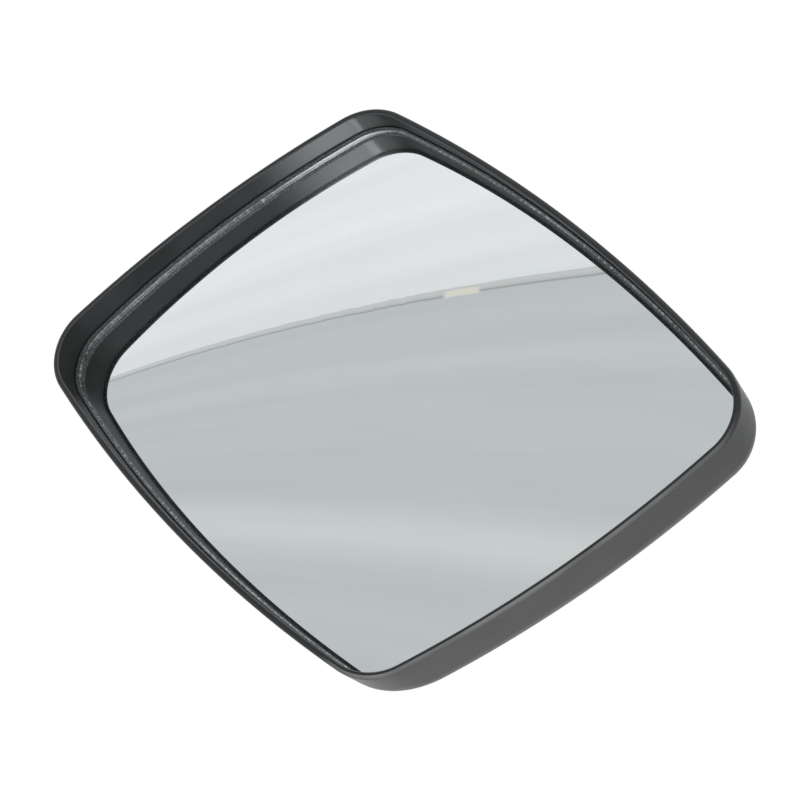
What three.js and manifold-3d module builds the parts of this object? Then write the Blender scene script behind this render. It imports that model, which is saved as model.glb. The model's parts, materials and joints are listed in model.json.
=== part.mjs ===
// Adjustable convex mirror head: a deep moulded housing with a recessed convex glass,
// carried on a ball joint and a split clamp that grips the vertical arm it hangs from.
// Millimetres, +Z up. The arm's axis is the Z axis, and the glass looks along -Y.
import * as THREE from 'three';
import { mergeVertices } from 'three/addons/utils/BufferGeometryUtils.js';
import Module from 'manifold-3d';

const wasm = await Module();
wasm.setup();

// Outline of the rim, seen from the front: a slanted four-sided figure with bowed sides
const long_half = 122.5;
const short_half = 94.8;
const slant_angle = THREE.MathUtils.degToRad(75.5);
const long_bow_radius = 640;
const short_bow_radius = 550;
const sharp_corner_radius = 25.5;
const blunt_corner_radius = 29.5;
const long_side_steps = 8;
const short_side_steps = 6;
const corner_steps = 7;

// Clearances
const seat_gap = 0.3;
const slide_gap = 0.35;
const cut_overrun = 5;

// Housing shell
const lip_width = 1.8;
const lip_round = 0.6;
const wall_thickness = 2.4;
const wall_depth = 21.5;
const wall_draft = 0.9;
const growth_start_depth = 19.5;
const blunt_growth_share = 1.2;
const back_round = 21;
const back_round_angle = THREE.MathUtils.degToRad(78);
const back_round_steps = 6;
const crown_rise = 4.96;
const boss_margin = 3;
const ledge_width = 4.2;
const inner_draft = 0.15;

// Glass, its bonding pad and the frame that carries it
const glass_radius = 1800;
const glass_recess = 12.1;
const glass_thickness = 2.5;
const glass_edge_inset = 3.4;
const glass_bevel = 0.8;
const pad_thickness = 1;
const pad_margin = 3;
const frame_gap = 0.6;
const frame_rim_thickness = 0.7;
const frame_rim_height = 3.4;
const frame_plate_thickness = 2;
const frame_boss_radius = 4.5;
const frame_screw_radius = 1.9;
const frame_screw_head_radius = 3.8;
const frame_screw_head_height = 2.4;
const frame_screw_tip_gap = 2.8;
const frame_screw_sink = 5;
const post_wall = 2;

// Ball joint
const ball_radius = 13;
const ball_stand_off = 2;
const seat_thickness = 2.15;
const seat_split_angle = THREE.MathUtils.degToRad(2.5);
const seat_window_angle = THREE.MathUtils.degToRad(48);
const cup_wall = 2.6;
const flange_edge = 7.5;
const flange_thickness = 2.5;
const gasket_thickness = 1;
const ring_flange_thickness = 4;
const ring_rim = 1.2;
const ring_hub_wall = 3.55;
const ring_top_wall = 1.65;
const ring_window_radius = 11.6;
const ring_head_clearance = 4.1;
const ring_screw_count = 4;
const ring_screw_radius = 2.5;
const ring_screw_head_radius = 4.4;
const ring_screw_head_height = 3;
const ring_socket_radius = 2.2;
const ring_socket_depth = 1.8;
const spring_washer_thickness = 1.1;
const spring_washer_radius = 4.4;
const ring_nut_across = 8;
const ring_nut_height = 4;
const screw_tail = 1.5;
const screw_edge_share = 0.35;

// Ball stud between the ball and the clamp
const neck_radius = 5.5;
const neck_length = 20;
const collar_radius = 9;
const collar_thickness = 3;
const shank_radius = 4;
const wave_washer_thickness = 1;
const stud_nut_across = 13;
const stud_nut_height = 4.6;

// Split clamp on the arm
const arm_radius = 9;
const arm_play = 0.1;
const liner_thickness = 1.4;
const liner_flange = 1.5;
const clamp_half_width = 30;
const clamp_half_height = 18;
const clamp_split = 2;
const clamp_web = 6;
const clamp_back_wall = 6;
const clamp_edge_round = 3;
const clamp_edge_steps = 4;
const clamp_bolt_edge = 9;
const clamp_bolt_radius = 4;
const clamp_bolt_across = 13;
const clamp_bolt_head_height = 5.3;
const clamp_washer_radius = 8;
const clamp_washer_thickness = 1.6;
const clamp_nut_across = 13;
const clamp_nut_height = 6.5;

// Roundness of turned pieces
const fine_sides = 28;
const mid_sides = 20;
const small_sides = 12;
const hex_sides = 6;
const ball_step_angle = THREE.MathUtils.degToRad(14);

// Radii of the socket, from the ball out to the boss on the housing's back
const seat_inner = ball_radius + slide_gap;
const seat_outer = seat_inner + seat_thickness;
const socket_radius = seat_outer + slide_gap;
const cup_outer = socket_radius + cup_wall;
const housing_hole = cup_outer + slide_gap;
const ring_top_radius = socket_radius + ring_top_wall;
const ring_hub_radius = cup_outer + ring_hub_wall;
const ring_screw_circle = ring_hub_radius + ring_head_clearance + ring_screw_head_radius;
const flange_radius = ring_screw_circle + flange_edge;
const boss_radius = flange_radius + boss_margin;

// Depths behind the rim, from the front of the object to the arm's axis
const round_end_depth = wall_depth + back_round * Math.sin(back_round_angle);
const back_depth = round_end_depth + crown_rise;
const ball_depth = back_depth + ball_stand_off;
const collar_front = ball_depth + neck_length;
const clamp_front = collar_front + collar_thickness + seat_gap + wave_washer_thickness + seat_gap;
const groove_radius = arm_radius + arm_play + liner_thickness + seat_gap;
const nut_pocket_depth = stud_nut_height + seat_gap + seat_gap;
const rim_to_arm = clamp_front + clamp_web + nut_pocket_depth + groove_radius;

// Place behind the rim turned into the Y coordinate
const behind = (depth) => depth - rim_to_arm;

// Materials
const paint = (color, roughness, metalness) => {
  return new THREE.MeshStandardMaterial({ color, roughness, metalness });
};
const black_plastic = paint(0x2b2c2c, 0.55, 0);
const silvered_glass = paint(0xc9d0d2, 0.04, 1);
const dark_rubber = paint(0x1d1d1d, 0.85, 0);
const pale_foam = paint(0xd8d4c8, 0.9, 0);
const natural_nylon = paint(0xe4e0d4, 0.5, 0);
const cast_metal = paint(0x8d9093, 0.5, 0.9);
const zinc_steel = paint(0xb4b8ba, 0.35, 1);

const model = new THREE.Group();

function place(name, geometry, material) {
  const mesh = new THREE.Mesh(geometry, material);
  mesh.name = name;
  model.add(mesh);
  return mesh;
}

// Solids for cutting and joining
function toSolid(geometry) {
  const bare = geometry.clone();
  bare.deleteAttribute('normal');
  bare.deleteAttribute('uv');
  const merged = mergeVertices(bare);
  const vertProperties = new Float32Array(merged.attributes.position.array);
  const triVerts = new Uint32Array(merged.index.array);
  return new wasm.Manifold(new wasm.Mesh({ numProp: 3, vertProperties, triVerts }));
}

function toGeometry(solid) {
  const mesh = solid.getMesh();
  const geometry = new THREE.BufferGeometry();
  geometry.setAttribute('position', new THREE.BufferAttribute(mesh.vertProperties, mesh.numProp));
  geometry.setIndex(new THREE.BufferAttribute(mesh.triVerts, 1));
  return geometry;
}

function cut(geometry, ...tools) {
  let solid = toSolid(geometry);
  for (const tool of tools) {
    solid = solid.subtract(toSolid(tool));
  }
  return toGeometry(solid);
}

function join(geometry, ...pieces) {
  let solid = toSolid(geometry);
  for (const piece of pieces) {
    solid = solid.add(toSolid(piece));
  }
  return toGeometry(solid);
}

// A turned piece whose axis lies along Y: the profile holds [radius, depth behind the rim]
function turned(profile, sides, x = 0, z = 0) {
  const points = profile.map(([radius, depth]) => new THREE.Vector2(radius, behind(depth)));
  const area = points.reduce((sum, p, i) => {
    const q = points[(i + 1) % points.length];
    return sum + p.x * q.y - q.x * p.y;
  }, 0);
  const ordered = area < 0 ? points.reverse() : points;
  ordered.push(ordered[0].clone());
  return new THREE.LatheGeometry(ordered, sides).translate(x, 0, z);
}

const rod = (radius, from, to, sides, x = 0, z = 0) => {
  return turned([[0, from], [radius, from], [radius, to], [0, to]], sides, x, z);
};

const tube = (inner, outer, from, to, sides, x = 0, z = 0) => {
  return turned([[inner, from], [outer, from], [outer, to], [inner, to]], sides, x, z);
};

// A six-sided bar along Y, measured across its flats
const hexBar = (across, from, to, x = 0, z = 0) => {
  return rod(across / Math.sqrt(3), from, to, hex_sides, x, z);
};

// Points of a circle's arc about the ball's centre, angles measured from the rear pole
function ballArc(radius, start, end) {
  const steps = Math.ceil(Math.abs(end - start) / ball_step_angle);
  const points = [];
  for (let i = 0; i <= steps; i += 1) {
    const angle = THREE.MathUtils.lerp(start, end, i / steps);
    points.push([radius * Math.sin(angle), ball_depth + radius * Math.cos(angle)]);
  }
  return points;
}

// Centre of the circle through two corners that bows outwards
function bowCentre(from, to, radius) {
  const middle = from.clone().add(to).multiplyScalar(0.5);
  const along = to.clone().sub(from);
  const half_chord = along.length() / 2;
  const inwards = new THREE.Vector2(-along.y, along.x).normalize();
  return middle.addScaledVector(inwards, Math.sqrt(radius ** 2 - half_chord ** 2));
}

// Centre of the round that joins two bows near their corner
function roundCentre(side, next, corner, round) {
  const reach_a = side.radius - round;
  const reach_b = next.radius - round;
  const span = next.centre.clone().sub(side.centre);
  const length = span.length();
  const along = (length ** 2 + reach_a ** 2 - reach_b ** 2) / (2 * length);
  const across = Math.sqrt(reach_a ** 2 - along ** 2);
  const unit = span.normalize();
  const foot = side.centre.clone().addScaledVector(unit, along);
  const normal = new THREE.Vector2(-unit.y, unit.x);
  const choices = [1, -1].map((sign) => foot.clone().addScaledVector(normal, sign * across));
  choices.sort((a, b) => a.distanceTo(corner) - b.distanceTo(corner));
  return choices[0];
}

// Stations round the rim: each knows its arc's centre, its radius and its outward direction.
// The blunt corners can be drawn rounder by a growth in their radius.
function outlineStations(growth = 0) {
  const across = new THREE.Vector2(long_half, 0);
  const up = new THREE.Vector2(Math.cos(slant_angle), Math.sin(slant_angle)).multiplyScalar(short_half);
  const top_right = across.clone().add(up);
  const bottom_right = across.clone().sub(up);
  const bottom_left = top_right.clone().negate();
  const top_left = bottom_right.clone().negate();
  const corners = [bottom_right, top_right, top_left, bottom_left];
  const blunt_radius = blunt_corner_radius + growth;
  const rounds = [blunt_radius, sharp_corner_radius, blunt_radius, sharp_corner_radius];
  const bows = [short_bow_radius, long_bow_radius, short_bow_radius, long_bow_radius];
  const steps = [short_side_steps, long_side_steps, short_side_steps, long_side_steps];
  const sides = bows.map((radius, i) => {
    return { radius, centre: bowCentre(corners[i], corners[(i + 1) % 4], radius), steps: steps[i] };
  });
  const roundings = sides.map((side, i) => {
    const next = sides[(i + 1) % 4];
    const corner = corners[(i + 1) % 4];
    const radius = rounds[(i + 1) % 4];
    return { radius, centre: roundCentre(side, next, corner, radius), steps: corner_steps };
  });
  const bearing = (from, to) => Math.atan2(to.y - from.y, to.x - from.x);
  const arcs = [];
  sides.forEach((side, i) => {
    const before = roundings[(i + 3) % 4];
    const after = roundings[i];
    const next = sides[(i + 1) % 4];
    const start = bearing(side.centre, before.centre);
    const end = bearing(side.centre, after.centre);
    arcs.push({ ...side, start, end });
    arcs.push({ ...after, start: end, end: bearing(next.centre, after.centre) });
  });
  const stations = [];
  for (const arc of arcs) {
    const turn = THREE.MathUtils.euclideanModulo(arc.end - arc.start, 2 * Math.PI);
    for (let i = 0; i < arc.steps; i += 1) {
      const angle = arc.start + (turn * i) / arc.steps;
      const outward = new THREE.Vector2(Math.cos(angle), Math.sin(angle));
      stations.push({ centre: arc.centre, radius: arc.radius, outward });
    }
  }
  return stations;
}

const stations = outlineStations();

// The rim's outline moved inwards by an inset, as flat points (x, z)
const insetPoint = (station, inset) => {
  return station.centre.clone().addScaledVector(station.outward, station.radius - inset);
};

// Depth of the glass's front face, which bulges towards the viewer
const glassDepth = (point, behind_glass = 0) => {
  return glass_recess + point.lengthSq() / (2 * glass_radius) + behind_glass;
};

// Growth of the blunt corners' radius behind the glass
const growthAt = (depth) => Math.max(0, depth - growth_start_depth) * blunt_growth_share;

// Rings are lists of points, one for each station
const flatRing = (inset, depth) => outlineStations(growthAt(depth)).map((station) => {
  const p = insetPoint(station, inset);
  return new THREE.Vector3(p.x, behind(depth), p.y);
});

// The middle of a blunt corner, which comes after a short side, a sharp corner and a long side
const blunt_start = short_side_steps + corner_steps + long_side_steps;
const blunt_station = stations[blunt_start + Math.floor(corner_steps / 2)];

// A ring that follows the glass, drawn in where the blunt corners lie behind the growth's start
function domedRing(inset, behind_glass, size_share = 1) {
  const blunt_depth = glassDepth(insetPoint(blunt_station, inset), behind_glass);
  return outlineStations(growthAt(blunt_depth)).map((station) => {
    const p = insetPoint(station, inset).multiplyScalar(size_share);
    return new THREE.Vector3(p.x, behind(glassDepth(p, behind_glass)), p.y);
  });
}

// A ring on the way from the end of the back's rounding to a circle about the centre
function blendRing(end, circle, blend_share, depth) {
  return outlineStations(growthAt(end.depth)).map((station) => {
    const p = insetPoint(station, end.inset);
    p.lerp(p.clone().setLength(circle), blend_share);
    return new THREE.Vector3(p.x, behind(depth), p.y);
  });
}

// Skin over rings in order; a closed loop of rings, or one closed by a point at each end
function loft(rings, first_point, last_point) {
  const count = stations.length;
  const vertices = rings.flat();
  const faces = [];
  const closed = first_point === undefined;
  const bands = closed ? rings.length : rings.length - 1;
  for (let k = 0; k < bands; k += 1) {
    const a = k * count;
    const b = ((k + 1) % rings.length) * count;
    for (let i = 0; i < count; i += 1) {
      const j = (i + 1) % count;
      faces.push(a + i, b + i, b + j, a + i, b + j, a + j);
    }
  }
  if (!closed) {
    const last_ring = (rings.length - 1) * count;
    vertices.push(first_point, last_point);
    for (let i = 0; i < count; i += 1) {
      const j = (i + 1) % count;
      faces.push(vertices.length - 2, i, j);
      faces.push(vertices.length - 1, last_ring + j, last_ring + i);
    }
  }
  let volume = 0;
  for (let f = 0; f < faces.length; f += 3) {
    const [p, q, r] = [vertices[faces[f]], vertices[faces[f + 1]], vertices[faces[f + 2]]];
    volume += p.dot(q.clone().cross(r));
  }
  if (volume < 0) {
    faces.reverse();
  }
  const geometry = new THREE.BufferGeometry();
  geometry.setFromPoints(vertices);
  geometry.setIndex(faces);
  return geometry;
}

const centrePoint = (depth) => new THREE.Vector3(0, behind(depth), 0);

// A plate that follows the glass, from a front to a back distance behind the glass's face
const plate_ring_shares = [0.3, 0.6, 0.82];

function domedPlate(edge_inset, front, back, bevel = 0) {
  const inner_first = plate_ring_shares.map((share) => domedRing(edge_inset, front, share));
  const back_last = plate_ring_shares.map((share) => domedRing(edge_inset, back, share)).reverse();
  const edge = [domedRing(edge_inset + bevel, front)];
  if (bevel > 0) {
    edge.push(domedRing(edge_inset, front + bevel));
  }
  edge.push(domedRing(edge_inset, back));
  const rings = [...inner_first, ...edge, ...back_last];
  return loft(rings, centrePoint(glass_recess + front), centrePoint(glass_recess + back));
}

// Distances behind the glass's front face
const pad_front = glass_thickness + seat_gap;
const pad_back = pad_front + pad_thickness;
const plate_front = pad_back + seat_gap;
const plate_back = plate_front + frame_plate_thickness;
const ledge_front = plate_back + seat_gap;

// Frame screws stand on a slanted rectangle that follows the outline
const frame_screw_shares = [[0.6, 0.5], [-0.6, 0.5], [-0.6, -0.5], [0.6, -0.5]];
const frame_screw_points = frame_screw_shares.map(([along_share, up_share]) => {
  const up = up_share * short_half;
  const x = along_share * long_half + up * Math.cos(slant_angle);
  return new THREE.Vector2(x, up * Math.sin(slant_angle));
});

// Ring screws stand on a circle, turned so that none is straight above the ball
const ring_screw_points = Array.from({ length: ring_screw_count }, (_, i) => {
  const angle = (2 * Math.PI * (i + 0.5)) / ring_screw_count;
  return new THREE.Vector2(Math.cos(angle), Math.sin(angle)).multiplyScalar(ring_screw_circle);
});

// Depths of the socket's parts on the housing's back
const boss_inner_depth = back_depth - wall_thickness;
const cup_flange_back = boss_inner_depth - seat_gap;
const cup_flange_front = cup_flange_back - flange_thickness;
const gasket_front = back_depth + seat_gap;
const gasket_back = gasket_front + gasket_thickness;
const ring_front = gasket_back + seat_gap;
const ring_flange_back = ring_front + ring_flange_thickness;
const ring_window_angle = Math.asin(ring_window_radius / socket_radius);
const ring_window_depth = ball_depth + socket_radius * Math.cos(ring_window_angle);
const ring_top = ring_window_depth + ring_rim;

// The frame screws' heads sink into the back, in tubes that reach the frame's bosses
const frame_screw_head_back = back_depth - frame_screw_sink;
const frame_screw_seat = frame_screw_head_back - frame_screw_head_height;
const post_inner = frame_screw_head_radius + slide_gap;
const post_outer = post_inner + post_wall;
const post_floor = frame_screw_seat - seat_gap;
const post_front = post_floor - wall_thickness;
const plate_backs = frame_screw_points.map((p) => glassDepth(p, plate_back));
const screw_tip = Math.max(...plate_backs) + frame_screw_tip_gap;

// Holes for the ring screws through a wall between two depths
function ringScrewHoles(from, to) {
  const radius = ring_screw_radius + slide_gap;
  return ring_screw_points.map((p) => {
    return rod(radius, from - cut_overrun, to + cut_overrun, small_sides, p.x, p.y);
  });
}

function housingShell() {
  const inner_round = back_round - wall_thickness;
  const round_centre_inset = wall_draft + back_round;
  const outerRound = (angle) => {
    const inset = round_centre_inset - back_round * Math.cos(angle);
    return { inset, depth: wall_depth + back_round * Math.sin(angle) };
  };
  const innerRound = (angle) => {
    const inset = round_centre_inset - inner_round * Math.cos(angle);
    return { inset, depth: wall_depth + inner_round * Math.sin(angle) };
  };
  const rings = [];
  rings.push(flatRing(lip_width - lip_round, 0));
  rings.push(flatRing(lip_round, 0));
  rings.push(flatRing(0, lip_round));
  for (let i = 0; i <= back_round_steps; i += 1) {
    const at = outerRound((back_round_angle * i) / back_round_steps);
    rings.push(flatRing(at.inset, at.depth));
  }
  const rim_end = outerRound(back_round_angle);
  const inner_end = innerRound(back_round_angle);
  const crown_shares = [0.35, 0.7, 1];
  const rise = (share) => 1 - (1 - share) ** 2;
  for (const share of crown_shares) {
    const depth = THREE.MathUtils.lerp(rim_end.depth, back_depth, rise(share));
    rings.push(blendRing(rim_end, boss_radius, share, depth));
  }
  rings.push(blendRing(rim_end, housing_hole, 1, back_depth));
  rings.push(blendRing(rim_end, housing_hole, 1, boss_inner_depth));
  for (const share of [...crown_shares].reverse()) {
    const depth = THREE.MathUtils.lerp(inner_end.depth, boss_inner_depth, rise(share));
    rings.push(blendRing(inner_end, boss_radius, share, depth));
  }
  const ledge_inset = lip_width + inner_draft + ledge_width;
  const ledge_angle = Math.acos((round_centre_inset - ledge_inset) / inner_round);
  for (let i = back_round_steps - 1; i >= 0; i -= 1) {
    const angle = THREE.MathUtils.lerp(ledge_angle, back_round_angle, i / (back_round_steps - 1));
    const at = innerRound(angle);
    rings.push(flatRing(at.inset, at.depth));
  }
  rings.push(domedRing(ledge_inset, ledge_front));
  rings.push(domedRing(lip_width + inner_draft, ledge_front));
  rings.push(domedRing(lip_width + inner_draft, glass_thickness));
  rings.push(flatRing(lip_width, lip_round));
  const shell = loft(rings);
  const posts = frame_screw_points.map((p) => {
    return rod(post_outer, post_front, boss_inner_depth, mid_sides, p.x, p.y);
  });
  const post_bores = frame_screw_points.map((p) => {
    return rod(post_inner, post_floor, back_depth + cut_overrun, mid_sides, p.x, p.y);
  });
  const post_holes = frame_screw_points.map((p) => {
    const radius = frame_screw_radius + slide_gap;
    return rod(radius, post_front - cut_overrun, post_floor + cut_overrun, small_sides, p.x, p.y);
  });
  const ring_holes = ringScrewHoles(boss_inner_depth, back_depth);
  return cut(join(shell, ...posts), ...post_bores, ...post_holes, ...ring_holes);
}

function glassFrame() {
  const outer = lip_width + inner_draft + frame_gap;
  const inner = outer + frame_rim_thickness;
  const tray = loft([
    ...plate_ring_shares.map((share) => domedRing(inner, plate_front, share)),
    domedRing(inner, plate_front),
    domedRing(inner, glass_thickness),
    domedRing(inner, -frame_rim_height),
    domedRing(outer, -frame_rim_height),
    domedRing(outer, glass_thickness),
    domedRing(outer, plate_back),
    ...plate_ring_shares.map((share) => domedRing(outer, plate_back, share)).reverse(),
  ], centrePoint(glass_recess + plate_front), centrePoint(glass_recess + plate_back));
  const bosses = frame_screw_points.map((p) => {
    const middle = glassDepth(p, (plate_front + plate_back) / 2);
    return rod(frame_boss_radius, middle, post_front - seat_gap, small_sides, p.x, p.y);
  });
  const pilots = frame_screw_points.map((p) => {
    const radius = frame_screw_radius + slide_gap;
    return rod(radius, screw_tip - seat_gap, post_front + cut_overrun, small_sides, p.x, p.y);
  });
  return cut(join(tray, ...bosses), ...pilots);
}

// A pan-head screw whose head faces the back, with a round socket in the head
function panScrew(radius, head_radius, seat, head_height, tip, x, z) {
  const head_back = seat + head_height;
  const edge = head_height * screw_edge_share;
  return turned([
    [0, tip],
    [radius, tip],
    [radius, seat],
    [head_radius, seat],
    [head_radius, head_back - edge],
    [head_radius - edge, head_back],
    [ring_socket_radius, head_back],
    [ring_socket_radius, head_back - ring_socket_depth],
    [0, head_back - ring_socket_depth],
  ], small_sides, x, z);
}

function socketCup() {
  const start = Math.acos((gasket_back - ball_depth) / socket_radius);
  const inside = ballArc(socket_radius, start, Math.PI);
  const outside_start = Math.acos((cup_flange_front - ball_depth) / cup_outer);
  const outside = ballArc(cup_outer, outside_start, Math.PI).reverse();
  const cup = turned([
    ...inside,
    ...outside,
    [flange_radius, cup_flange_front],
    [flange_radius, cup_flange_back],
    [cup_outer, cup_flange_back],
    [cup_outer, gasket_back],
  ], fine_sides);
  return cut(cup, ...ringScrewHoles(cup_flange_front, cup_flange_back));
}

function socketRing() {
  const start = Math.acos((ring_front - ball_depth) / socket_radius);
  const inside = ballArc(socket_radius, ring_window_angle, start);
  const ring = turned([
    ...inside,
    [flange_radius, ring_front],
    [flange_radius, ring_flange_back],
    [ring_hub_radius, ring_flange_back],
    [ring_top_radius, ring_top],
    [ring_window_radius + ring_rim, ring_top],
  ], fine_sides);
  return cut(ring, ...ringScrewHoles(ring_front, ring_flange_back));
}

function socketGasket() {
  const gasket = tube(housing_hole, flange_radius, gasket_front, gasket_back, fine_sides);
  return cut(gasket, ...ringScrewHoles(gasket_front, gasket_back));
}

// Half of the nylon seat: a band of a ball-shaped shell between two angles from the rear pole
function seatHalf(from, to) {
  const inside = ballArc(seat_inner, from, to);
  const outside = ballArc(seat_outer, from, to).reverse();
  return turned([...inside, ...outside], fine_sides);
}

function ballStud() {
  const neck_angle = Math.asin(neck_radius / ball_radius);
  const tip = clamp_front + clamp_web + nut_pocket_depth - seat_gap;
  return turned([
    ...ballArc(ball_radius, Math.PI, neck_angle),
    [neck_radius, collar_front],
    [collar_radius, collar_front],
    [collar_radius, collar_front + collar_thickness],
    [shank_radius, collar_front + collar_thickness],
    [shank_radius, tip],
    [0, tip],
  ], fine_sides);
}

// A nut with a plain bore
function nut(across, height, bore, from, x = 0, z = 0) {
  const bar = hexBar(across, from, from + height, x, z);
  return cut(bar, rod(bore, from - cut_overrun, from + height + cut_overrun, small_sides, x, z));
}

// A block with rounded upright edges, from one depth to another
function clampBlock(from, to) {
  const shape = new THREE.Shape();
  const w = clamp_half_width;
  const h = clamp_half_height;
  const r = clamp_edge_round;
  shape.moveTo(w, r - h);
  shape.lineTo(w, h - r);
  shape.absarc(w - r, h - r, r, 0, Math.PI / 2);
  shape.absarc(r - w, h - r, r, Math.PI / 2, Math.PI);
  shape.absarc(r - w, r - h, r, Math.PI, 1.5 * Math.PI);
  shape.absarc(w - r, r - h, r, 1.5 * Math.PI, 2 * Math.PI);
  const options = { depth: to - from, bevelEnabled: false, curveSegments: clamp_edge_steps };
  const block = new THREE.ExtrudeGeometry(shape, options);
  return block.rotateX(-Math.PI / 2).translate(0, behind(from), 0);
}

// The groove that the arm lies in, along Z through the origin
const armBar = (radius, half_length) => {
  return new THREE.CylinderGeometry(radius, radius, 2 * half_length, mid_sides).rotateX(Math.PI / 2);
};

const base_back = rim_to_arm - clamp_split / 2;
const cap_front = rim_to_arm + clamp_split / 2;
const cap_back = rim_to_arm + groove_radius + clamp_back_wall;
const bolt_x = clamp_half_width - clamp_bolt_edge;
const bolt_seat = cap_back + seat_gap + clamp_washer_thickness + seat_gap;
const clamp_nut_front = clamp_front + seat_gap;
const clamp_pocket_back = clamp_nut_front + clamp_nut_height + seat_gap;

function clampBase() {
  const bolt_holes = [-bolt_x, bolt_x].map((x) => {
    const radius = clamp_bolt_radius + slide_gap;
    return rod(radius, clamp_front - cut_overrun, base_back + cut_overrun, mid_sides, x);
  });
  const nut_pockets = [-bolt_x, bolt_x].map((x) => {
    const across = clamp_nut_across + 2 * slide_gap;
    return hexBar(across, clamp_front - cut_overrun, clamp_pocket_back, x);
  });
  const groove = armBar(groove_radius, clamp_half_height + cut_overrun);
  const web_back = clamp_front + clamp_web;
  const shank_hole = rod(shank_radius + slide_gap, clamp_front - cut_overrun, base_back, mid_sides);
  const pocket_radius = stud_nut_across / Math.sqrt(3) + slide_gap;
  const stud_pocket = rod(pocket_radius, web_back, base_back, mid_sides);
  const block = clampBlock(clamp_front, base_back);
  return cut(block, groove, shank_hole, stud_pocket, ...bolt_holes, ...nut_pockets);
}

function clampCap() {
  const bolt_holes = [-bolt_x, bolt_x].map((x) => {
    const radius = clamp_bolt_radius + slide_gap;
    return rod(radius, cap_front - cut_overrun, cap_back + cut_overrun, mid_sides, x);
  });
  const groove = armBar(groove_radius, clamp_half_height + cut_overrun);
  return cut(clampBlock(cap_front, cap_back), groove, ...bolt_holes);
}

// Half of the rubber sleeve between the arm and the clamp, with a flange at each end
function linerHalf(side) {
  const outer = groove_radius - seat_gap;
  const flange_start = clamp_half_height + seat_gap;
  const length = flange_start + liner_flange;
  const sleeve = armBar(outer, length);
  const collars = [-1, 1].map((end) => {
    const middle = end * (flange_start + liner_flange / 2);
    return armBar(outer + liner_flange, liner_flange / 2).translate(0, 0, middle);
  });
  const bore = armBar(arm_radius + arm_play, length + cut_overrun);
  const reach = 2 * groove_radius;
  const far_half = new THREE.BoxGeometry(2 * reach, reach, 2 * (length + cut_overrun));
  far_half.translate(0, side * (reach / 2 - clamp_split / 2), 0);
  return cut(join(sleeve, ...collars), bore, far_half);
}

// The head: everything that turns together with the glass
place('housing_shell', housingShell(), black_plastic);
place('mirror_glass', domedPlate(glass_edge_inset, 0, glass_thickness, glass_bevel), silvered_glass);
place('bonding_pad', domedPlate(glass_edge_inset + pad_margin, pad_front, pad_back), pale_foam);
place('glass_frame', glassFrame(), black_plastic);
frame_screw_points.forEach((p, i) => {
  const screw = panScrew(frame_screw_radius, frame_screw_head_radius, frame_screw_seat,
    frame_screw_head_height, screw_tip, p.x, p.y);
  place(`frame_screw_${i + 1}`, screw, zinc_steel);
});
place('socket_cup', socketCup(), zinc_steel);
place('socket_gasket', socketGasket(), dark_rubber);
place('socket_ring', socketRing(), black_plastic);
const washer_front = ring_flange_back + seat_gap;
const ring_screw_seat = washer_front + spring_washer_thickness + seat_gap;
const ring_nut_back = cup_flange_front - seat_gap;
const ring_nut_front = ring_nut_back - ring_nut_height;
ring_screw_points.forEach((p, i) => {
  const bore = ring_screw_radius + slide_gap;
  const screw = panScrew(ring_screw_radius, ring_screw_head_radius, ring_screw_seat,
    ring_screw_head_height, ring_nut_front - screw_tail, p.x, p.y);
  const washer_back = washer_front + spring_washer_thickness;
  place(`ring_screw_${i + 1}`, screw, zinc_steel);
  const washer = tube(bore, spring_washer_radius, washer_front, washer_back, small_sides, p.x, p.y);
  place(`spring_washer_${i + 1}`, washer, zinc_steel);
  const ring_nut = nut(ring_nut_across, ring_nut_height, bore, ring_nut_front, p.x, p.y);
  place(`ring_nut_${i + 1}`, ring_nut, zinc_steel);
});

// The nylon seat between the ball and the socket
place('ball_seat_rear', seatHalf(seat_window_angle, Math.PI / 2 - seat_split_angle), natural_nylon);
place('ball_seat_front', seatHalf(Math.PI / 2 + seat_split_angle, Math.PI), natural_nylon);

// The ball stud, which turns in the clamp
place('ball_stud', ballStud(), cast_metal);
const wave_front = collar_front + collar_thickness + seat_gap;
const wave_bore = shank_radius + slide_gap;
const wave_back = wave_front + wave_washer_thickness;
const wave_washer = tube(wave_bore, collar_radius, wave_front, wave_back, mid_sides);
place('wave_washer', wave_washer, zinc_steel);
const stud_nut_front = clamp_front + clamp_web + seat_gap;
const stud_nut = nut(stud_nut_across, stud_nut_height, wave_bore, stud_nut_front);
place('stud_nut', stud_nut, zinc_steel);

// The clamp, which grips the arm
place('clamp_base', clampBase(), black_plastic);
place('clamp_cap', clampCap(), black_plastic);
place('arm_liner_front', linerHalf(1), dark_rubber);
place('arm_liner_rear', linerHalf(-1), dark_rubber);
[['left', -bolt_x], ['right', bolt_x]].forEach(([side, x]) => {
  const bore = clamp_bolt_radius + slide_gap;
  const head = hexBar(clamp_bolt_across, bolt_seat, bolt_seat + clamp_bolt_head_height, x);
  const shank = rod(clamp_bolt_radius, clamp_nut_front, bolt_seat + seat_gap, mid_sides, x);
  place(`clamp_bolt_${side}`, join(head, shank), zinc_steel);
  const washer_start = cap_back + seat_gap;
  const washer_end = washer_start + clamp_washer_thickness;
  const washer = tube(bore, clamp_washer_radius, washer_start, washer_end, mid_sides, x);
  place(`clamp_washer_${side}`, washer, zinc_steel);
  const clamp_nut = nut(clamp_nut_across, clamp_nut_height, bore, clamp_nut_front, x);
  place(`clamp_nut_${side}`, clamp_nut, zinc_steel);
});

export default model;
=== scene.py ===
import json
import math
from types import SimpleNamespace

import bmesh
import bpy
from bpy.props import FloatProperty, FloatVectorProperty, IntProperty, PointerProperty
from mathutils import Matrix, Vector


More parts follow.
